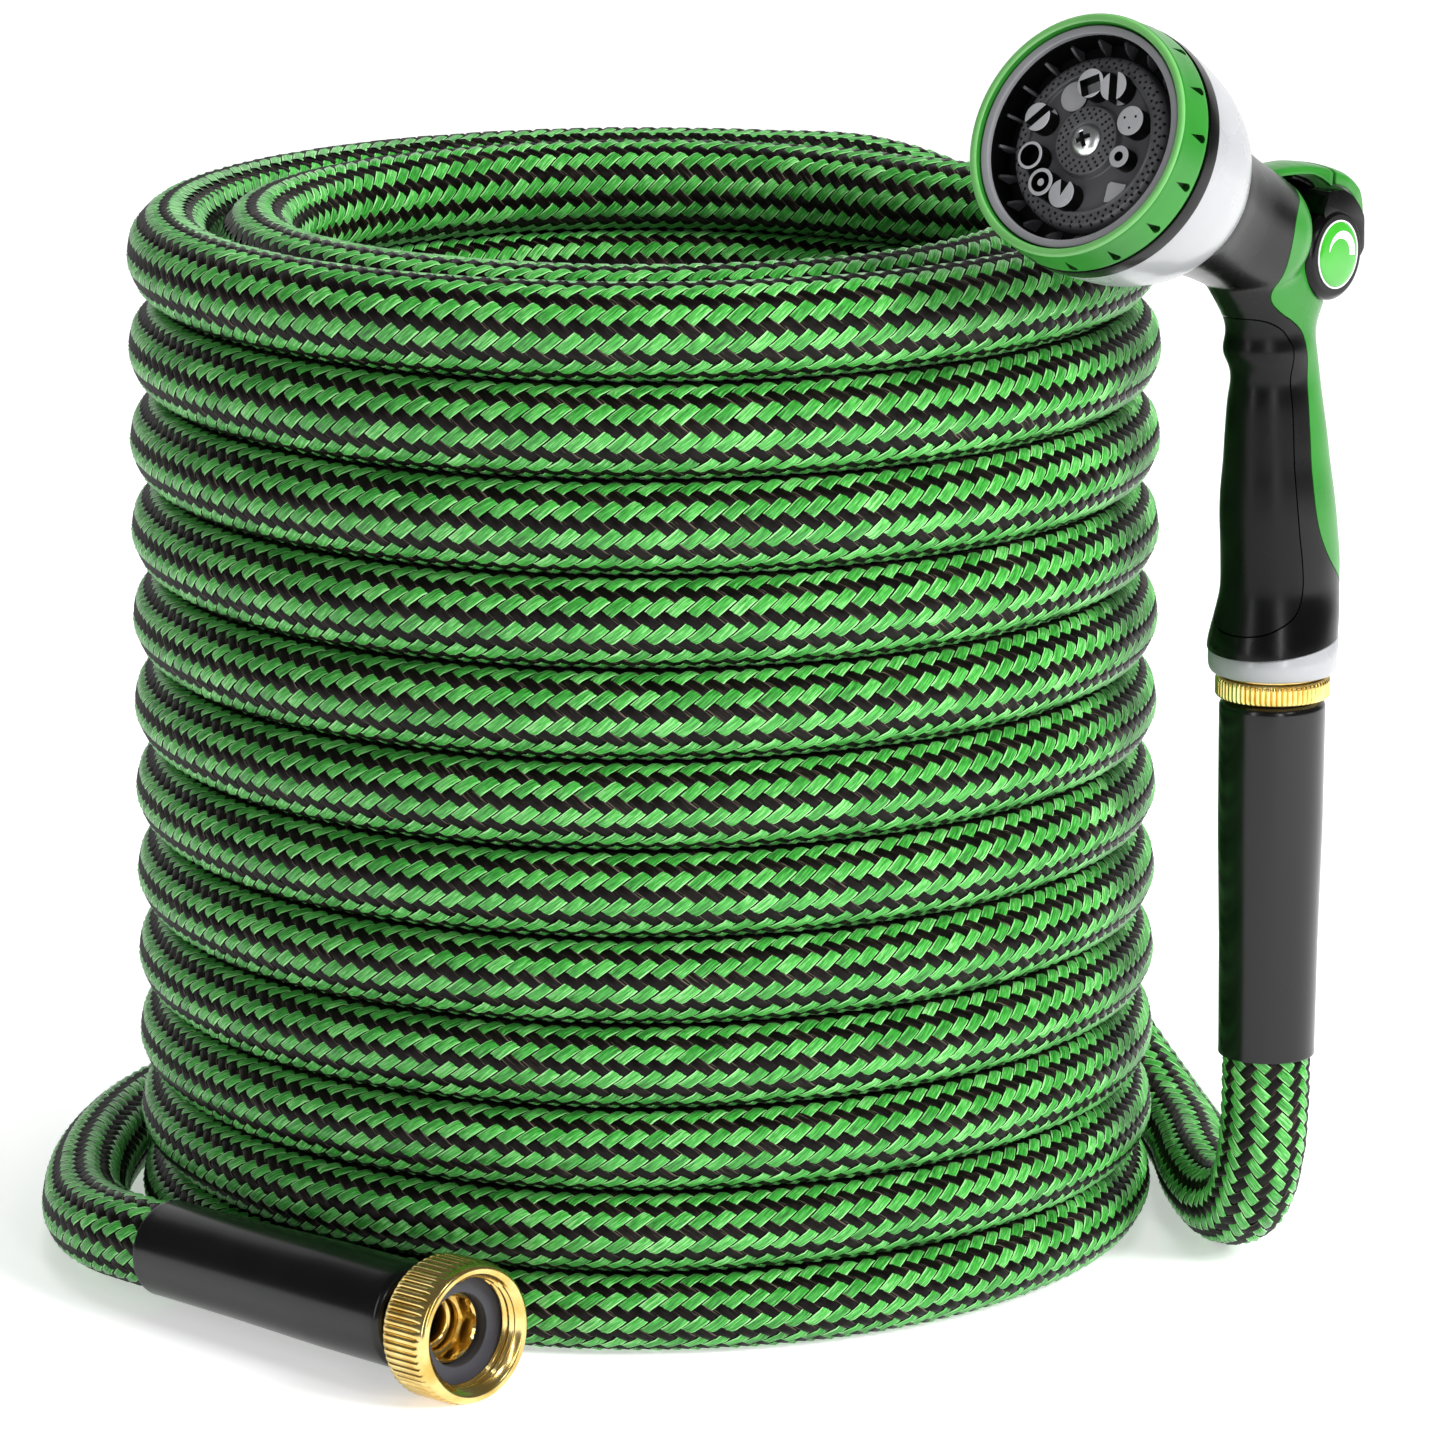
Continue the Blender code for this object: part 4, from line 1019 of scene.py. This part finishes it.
    head = [(0.0, -2.5), (1.4, -2.6), (2.8, -3.0), (3.7, -3.6), (4.05, -4.15), (3.95, -4.35), (1.8, -4.4),
            (1.8, -20.9),
            (0.0, -20.9)]
    screw = lathe("screw_cross", head, HEAD, face["steel"], 96, closed=False)
    wings = []
    for turn in (30.0, 120.0):
        outline = [(-2.4, -2.6), (-1.2, -4.1), (1.2, -4.1), (2.4, -2.6), (2.4, 1.0), (-2.4, 1.0)]
        wings.append(prism("wing", outline, -0.62, 0.62, HEAD @ Matrix.Rotation(math.radians(turn), 4, "Z"),
                           face["deep"], upright=True))
    combine(screw, wings)
    # The cross recess is filled with near-black: painted shade
    cross = []
    for turn in (30.0, 120.0):
        outline = [(-2.3, -4.3), (2.3, -4.3), (2.1, -3.1), (0.0, -2.8), (-2.1, -3.1)]
        cross.append(prism("cross", outline, -0.6, 0.6, HEAD @ Matrix.Rotation(math.radians(turn), 4, "Z"),
                           face["deep"], upright=True))
    screw = joined("screw_cross", [screw] + cross)
    screw.data.set_sharp_from_angle(angle=math.radians(30.0))
    settle(screw, "dial", "screw", "dial_screw")


def build_outlets(face):
    """The ten spray outlets, round the dial: each a post with its own grey face, its sides and bores
    near-black as painted shade.
    """
    made = []

    pitch = {6: 13.6, 338: 14.5, 293: 14.0, 254: 12.7, 224: 14.3, 175: 14.3, 146: 14.6, 114: 14.5, 75: 14.6,
             36: 13.2}

    def at(angle):
        """A frame on an outlet's foot, its X outwards. Angles run from the dial's top."""
        a = math.radians(angle)
        foot = shift(pitch[angle] * math.cos(a), pitch[angle] * math.sin(a), -6.5)
        return HEAD @ foot @ Matrix.Rotation(a, 4, "Z")

    def post(angle, radius, height):
        profile = rounded([(0.0, 0.0, 0.0), (radius, 0.0, 0.0), (radius, height, 0.25), (0.0, height, 0.0)],
                          0.2, 3,
                          False)
        return lathe("post", profile, at(angle), [face["deep"], face["face"]], 40, closed=False)

    def bar(angle, x0, x1, wide, low, turn=0.0):
        outline = [(x0, -wide / 2), (x1, -wide / 2), (x1, wide / 2), (x0, wide / 2)]
        return prism("bar", outline, low, 9.0, at(angle) @ Matrix.Rotation(math.radians(turn), 4, "Z"),
                     face["deep"])

    def hole(angle, x, y, radius, low=1.0):
        return lathe("hole", [(0.0, 9.0), (radius, 9.0), (radius, low), (0.0, low)], at(angle) @ shift(x, y,
                                                                                                       0),
                     face["deep"], 32, closed=False)

    made.append(combine(post(254, 2.75, 4.3), [hole(254, 0, 0, 1.25)]))
    three = [hole(293, 1.8 * math.cos(a), 1.8 * math.sin(a), 0.34) for a in (0.3, 2.4, 4.5)]
    made.append(combine(post(293, 3.7, 4.6), three))
    made.append(combine(post(338, 3.7, 4.6), [bar(338, -6, 6, 2.3, 0.8, 35)]))
    made.append(combine(post(6, 3.7, 4.6), [bar(6, -2.9, 1.5, 5.6, 1.0, 20)]))
    made.append(post(36, 3.8, 0.9))
    made.append(combine(post(75, 3.6, 4.6), [bar(75, -6, 6, 2.0, 0.9, 62)]))
    made.append(combine(post(114, 3.5, 4.6), [hole(114, 0, 0, 2.75, 0.5)]))
    pin = lathe("pin", [(0.0, 0.2), (0.95, 0.2), (0.95, 4.3), (0.0, 4.3)], at(146),
                [face["deep"], face["face"]], 24,
                closed=False)
    made += [combine(post(146, 3.5, 4.6), [hole(146, 0, 0, 2.55, 0.5)]), pin]
    notch = prism("notch", [(0.6, 0.0), (-6.0, -2.3), (-6.0, 2.3)], 0.9, 9.0, at(175), face["deep"])
    made.append(combine(post(175, 3.6, 4.6), [notch]))
    fan = [(-1.2, -0.5)] + [(4.6 * math.cos(a) - 1.0, 4.6 * math.sin(a)) for a in np.linspace(-0.85, 0.85, 9)]
    fan += [(-1.2, 0.5)]
    made.append(prism("fan", fan, 0.05, 0.8, at(224), face["face"]))
    axis = Vector(HEAD.col[2][:3])
    # Faces turned along the axis take the grey; the sides and bores keep the near-black painted shade
    for piece in made:
        if len(piece.data.materials) < 2:
            continue
        base = min((v.co @ axis for v in piece.data.vertices))
        for polygon in piece.data.polygons:
            if polygon.normal @ axis > 0.55 and polygon.center @ axis - base > 0.0008:
                polygon.material_index = 1
    whole = joined("spray_outlets", made)
    whole.data.shade_smooth()
    whole.data.set_sharp_from_angle(angle=math.radians(35.0))
    return whole


class HoseSettings(bpy.types.PropertyGroup):
    """Sizes and colours of the braided hose."""

    diameter: bpy.props.FloatProperty(name="Diameter", description="Outer diameter of the hose",
                                      default=2 * HOSE_R * MM, min=0.01, max=0.05, unit="LENGTH")
    length: bpy.props.FloatProperty(name="Length", description="Length of the hose, fifty feet",
                                    default=15.24, min=1.0, max=60.0, unit="LENGTH")
    float_pitch: bpy.props.FloatProperty(name="Float spacing",
                                         description="Along the hose, on the coil, in mm",
                                         default=4.8, min=2.0, max=10.0)
    riser_pitch: bpy.props.FloatProperty(name="Riser float spacing", description="On the riser, in mm",
                                         default=3.4, min=2.0, max=10.0)
    green_yarn: bpy.props.StringProperty(name="Green yarn", description="sRGB colour of the lit green yarn",
                                         default="#46AC41")
    black_yarn: bpy.props.StringProperty(name="Black yarn", description="sRGB colour of the lit black yarn",
                                         default="#1B1712")


class NozzleSettings(bpy.types.PropertyGroup):
    """Colours of the spray nozzle, each as the darker and the lighter end of its mottle."""

    green: bpy.props.StringProperty(name="Green", description="sRGB colour, darker end", default="#257023")
    green_light: bpy.props.StringProperty(name="Light green", description="sRGB colour, lighter end",
                                          default="#2D7D2A")
    silver: bpy.props.StringProperty(name="Silver", description="sRGB colour, darker end", default="#97989B")
    silver_light: bpy.props.StringProperty(name="Light silver", description="sRGB colour, lighter end",
                                           default="#9A9B9E")


class StageSettings(bpy.types.PropertyGroup):
    """Studio floor and light."""

    floor_tone: bpy.props.StringProperty(name="Floor", description="sRGB colour of the floor",
                                         default="#F4F4F4")
    strength: bpy.props.FloatProperty(name="Light", description="Multiplies every light", default=1.0,
                                      min=0.0,
                                      max=5.0)


def core_places():
    """Distances along the hose of the core's rings, and their middles in metres."""
    along, place = ROUTE[:2]
    at = np.linspace(0.0, along[-1], len(along) // 2 + 1)
    return at, np.stack([np.interp(at, along, place[:, i]) for i in range(3)], axis=1) * MM


class GARDENHOSE_OT_hose(bpy.types.Operator):
    """Builds the hose: a dark core along the whole route and the braid's raised floats on it"""

    bl_idname = "gardenhose.hose"
    bl_label = "Hose"

    def execute(self, context):
        settings = context.scene.hose_settings
        at = core_places()[0]
        rings, sides = len(at), 14
        turns = np.arange(sides) * 360.0 / sides
        points = on_hose(np.repeat(at, sides), np.tile(turns, rings), -0.75)
        a = (np.arange(rings - 1)[:, None] * sides + np.arange(sides)[None, :]).ravel()
        b = (np.arange(rings - 1)[:, None] * sides + (np.arange(sides)[None, :] + 1) % sides).ravel()
        faces = np.stack([a, b, b + sides, a + sides], axis=1)
        core = array_mesh("hose_core", points, faces, [core_material()])

        # Bright green polyester, glossy along its filaments
        green = yarn_material("green_polyester_yarn", [(0.24, "#0E3A10"), (0.82, "#A2E295"),
                                                       (0.42, "#2A8429"),
                                                       (0.58, settings.green_yarn)], 0.36, 0.12, 0.5)
        # Black polyester, brownish in its lighter fibres and at the painted highlight on the floats' edges
        black = yarn_material("black_polyester_yarn", [(0.25, "#020202"), (0.88, "#5E554A"), (0.5, "#0A0806"),
                                                       (0.7, settings.black_yarn)], 0.4, 0.0, 0.14)
        # Where the stretches of the braid start, in mm along the hose
        riser, low, high, inner, tail, end = 0.0, 560.0, 4600.0, 8650.0, 13750.0, ROUTE[0][-1]

        def front(angle):
            return -88 < angle < 100

        def seen_inside(angle):
            return angle > 60 or angle < -120

        stretches = [("riser", riser, low, lambda angle: True, FINE_ROWS, 11),
                     ("outer_low", low, high, front, FRONT_ROWS, 12),
                     ("outer_back_low", low, high, lambda angle: not front(angle), FAR_ROWS, 22),
                     ("outer_high", high, inner, front, FRONT_ROWS, 13),
                     ("outer_back_high", high, inner, lambda angle: not front(angle), FAR_ROWS, 23),
                     ("inner", inner, tail, seen_inside, FRONT_ROWS, 14),
                     ("inner_back", inner, tail, lambda angle: not seen_inside(angle), FAR_ROWS, 15),
                     ("tail", tail, end, lambda angle: True, FRONT_ROWS, 16)]
        pieces = [core]
        for name, begin, stop, sides, rows, seed in stretches:
            pieces.append(braid_piece("braid_" + name, begin, stop, sides, rows, FRONT_COLUMNS,
                                      [green, black],
                                      seed))
        for piece in pieces:
            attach(piece, "hose")
        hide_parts("hose_coil", "hose_upper_end", "hose_lower_end")
        return {"FINISHED"}


class GARDENHOSE_OT_couplings(bpy.types.Operator):
    bl_idname = "gardenhose.couplings"
    bl_label = "Sleeves and couplings"

    def execute(self, context):
        lower = settle(sleeve("sleeve_lower", LOWER_SLEEVE), "hose", "sleeve", "lower_sleeve")
        settle(sleeve("sleeve_upper", UPPER_SLEEVE, 2.2), "hose", "sleeve", "upper_sleeve")
        braid = [item for item in bpy.data.objects if item.name.startswith("braid_")]
        on_it = braid + [lower] + build_lower_fittings()
        build_upper_fittings()
        return {"FINISHED"}


class GARDENHOSE_OT_grip(bpy.types.Operator):
    """Builds the nozzle's grip and barrel with its soft pad, green back and collar"""

    bl_idname = "gardenhose.grip"
    bl_label = "Grip"

    def execute(self, context):
        build_grip(finishes())
        return {"FINISHED"}


class GARDENHOSE_OT_head(bpy.types.Operator):
    """Builds the nozzle's cup, seal band and dial with its ten outlets"""

    bl_idname = "gardenhose.head"
    bl_label = "Head and dial"

    def execute(self, context):
        build_head(finishes())
        return {"FINISHED"}


class GARDENHOSE_OT_lever(bpy.types.Operator):
    """Builds the thumb lever with its yoke and buttons"""

    bl_idname = "gardenhose.lever"
    bl_label = "Thumb lever"

    def execute(self, context):
        build_lever(finishes())
        return {"FINISHED"}


class GARDENHOSE_OT_stage(bpy.types.Operator):
    """Builds the pale floor, the studio light and the camera"""

    bl_idname = "gardenhose.stage"
    bl_label = "Stage"

    def execute(self, context):
        settings = context.scene.stage_settings
        made, tree = new_material("matt_white_paper")
        shader = add(tree, "ShaderNodeBsdfPrincipled", {
            "Base Color": linear(settings.floor_tone), "Roughness": 0.9,
            "Emission Color": (1.0, 1.0, 1.0, 1.0), "Emission Strength": 0.46})
        finish_material(tree, shader)
        rows = [(-3.0, 0.0), (2.2, 0.0)]
        rows += [(2.2 + 0.8 * math.sin(a), 0.8 - 0.8 * math.cos(a)) for a in np.linspace(0.1, math.pi / 2,
                                                                                         12)]
        rows += [(3.0, 4.0)]
        points = [(x, y, z) for y, z in rows for x in (-4.0, 4.0)]
        faces = [(2 * i, 2 * i + 1, 2 * i + 3, 2 * i + 2) for i in range(len(rows) - 1)]
        floor = array_mesh("floor", points, faces, [made])

        world = bpy.data.worlds.new("studio")
        world.use_nodes = True
        world.node_tree.nodes["Background"].inputs["Color"].default_value = (1.0, 1.0, 1.0, 1.0)
        world.node_tree.nodes["Background"].inputs["Strength"].default_value = 0.13 * settings.strength
        context.scene.world = world
        context.scene.view_settings.view_transform = "Standard"
        # Each light has a name, a place, a target, a width and height in metres, a power in watts, and
        # whether it shows as a highlight
        lights = [("key", (1.55, -0.95, 1.15), (0.05, 0.0, 0.15), (0.7, 0.9), 50.0, False),
                  ("strip", (0.62, -1.9, 0.7), (0.1, 0.0, 0.15), (0.2, 1.2), 7.0, True),
                  ("left_strip", (-1.15, -1.35, 0.7), (0.1, 0.0, 0.15), (0.25, 1.2), 5.0, True),
                  ("glint", (1.15, -1.25, 1.2), (0.1, 0.0, 0.2), (0.3, 0.3), 3.0, True),
                  ("edge", (1.1, 0.75, 0.7), (0.14, 0.0, 0.2), (0.3, 1.0), 2.5, False),
                  ("top", (0.1, 0.25, 1.9), (0.0, 0.0, 0.1), (1.4, 1.0), 14.0, False)]
        for name, place, target, size, power, glossy in lights:
            data = bpy.data.lights.new(name, "AREA")
            data.shape = "RECTANGLE"
            data.size, data.size_y = size
            data.energy = power * settings.strength
            light = bpy.data.objects.new(name, data)
            light.location = place
            light.visible_glossy = glossy
            light.rotation_euler = (Vector(target) - Vector(place)).to_track_quat("-Z", "Y").to_euler()
            context.scene.collection.objects.link(light)

        lens = bpy.data.cameras.new("camera")
        lens.sensor_width = 36.0
        lens.lens = 187.6
        camera = bpy.data.objects.new("camera", lens)
        camera.location = (0.0071, -1.8954, 0.5827)
        camera.rotation_euler = (math.radians(76.763), 0.0, 0.0)
        context.scene.collection.objects.link(camera)
        context.scene.camera = camera
        return {"FINISHED"}


class GARDENHOSE_PT_panel(bpy.types.Panel):
    """Lists the builders of the hose's pieces"""

    bl_idname = "GARDENHOSE_PT_panel"
    bl_label = "Garden hose"
    bl_space_type = "VIEW_3D"
    bl_region_type = "UI"
    bl_category = "Garden hose"

    def draw(self, context):
        for builder in BUILDERS:
            self.layout.operator(builder.bl_idname)
        scene = context.scene
        for group in (scene.hose_settings, scene.nozzle_settings, scene.stage_settings):
            for name in group.bl_rna.properties.keys():
                if name not in ("rna_type", "name"):
                    self.layout.prop(group, name)


BUILDERS = (GARDENHOSE_OT_hose, GARDENHOSE_OT_couplings, GARDENHOSE_OT_grip, GARDENHOSE_OT_head,
            GARDENHOSE_OT_lever, GARDENHOSE_OT_stage)
CLASSES = (HoseSettings, NozzleSettings, StageSettings) + BUILDERS + (GARDENHOSE_PT_panel,)


def register():
    for item in CLASSES:
        bpy.utils.register_class(item)
    bpy.types.Scene.hose_settings = bpy.props.PointerProperty(type=HoseSettings)
    bpy.types.Scene.nozzle_settings = bpy.props.PointerProperty(type=NozzleSettings)
    bpy.types.Scene.stage_settings = bpy.props.PointerProperty(type=StageSettings)


def unregister():
    del bpy.types.Scene.hose_settings
    del bpy.types.Scene.nozzle_settings
    del bpy.types.Scene.stage_settings
    for item in reversed(CLASSES):
        bpy.utils.unregister_class(item)


def main():
    register()
    bpy.ops.gardenhose.hose()
    bpy.ops.gardenhose.couplings()
    bpy.ops.gardenhose.grip()
    bpy.ops.gardenhose.head()
    bpy.ops.gardenhose.lever()
    bpy.ops.gardenhose.stage()
    bpy.context.view_layer.update()


if __name__ == "__main__":
    main()
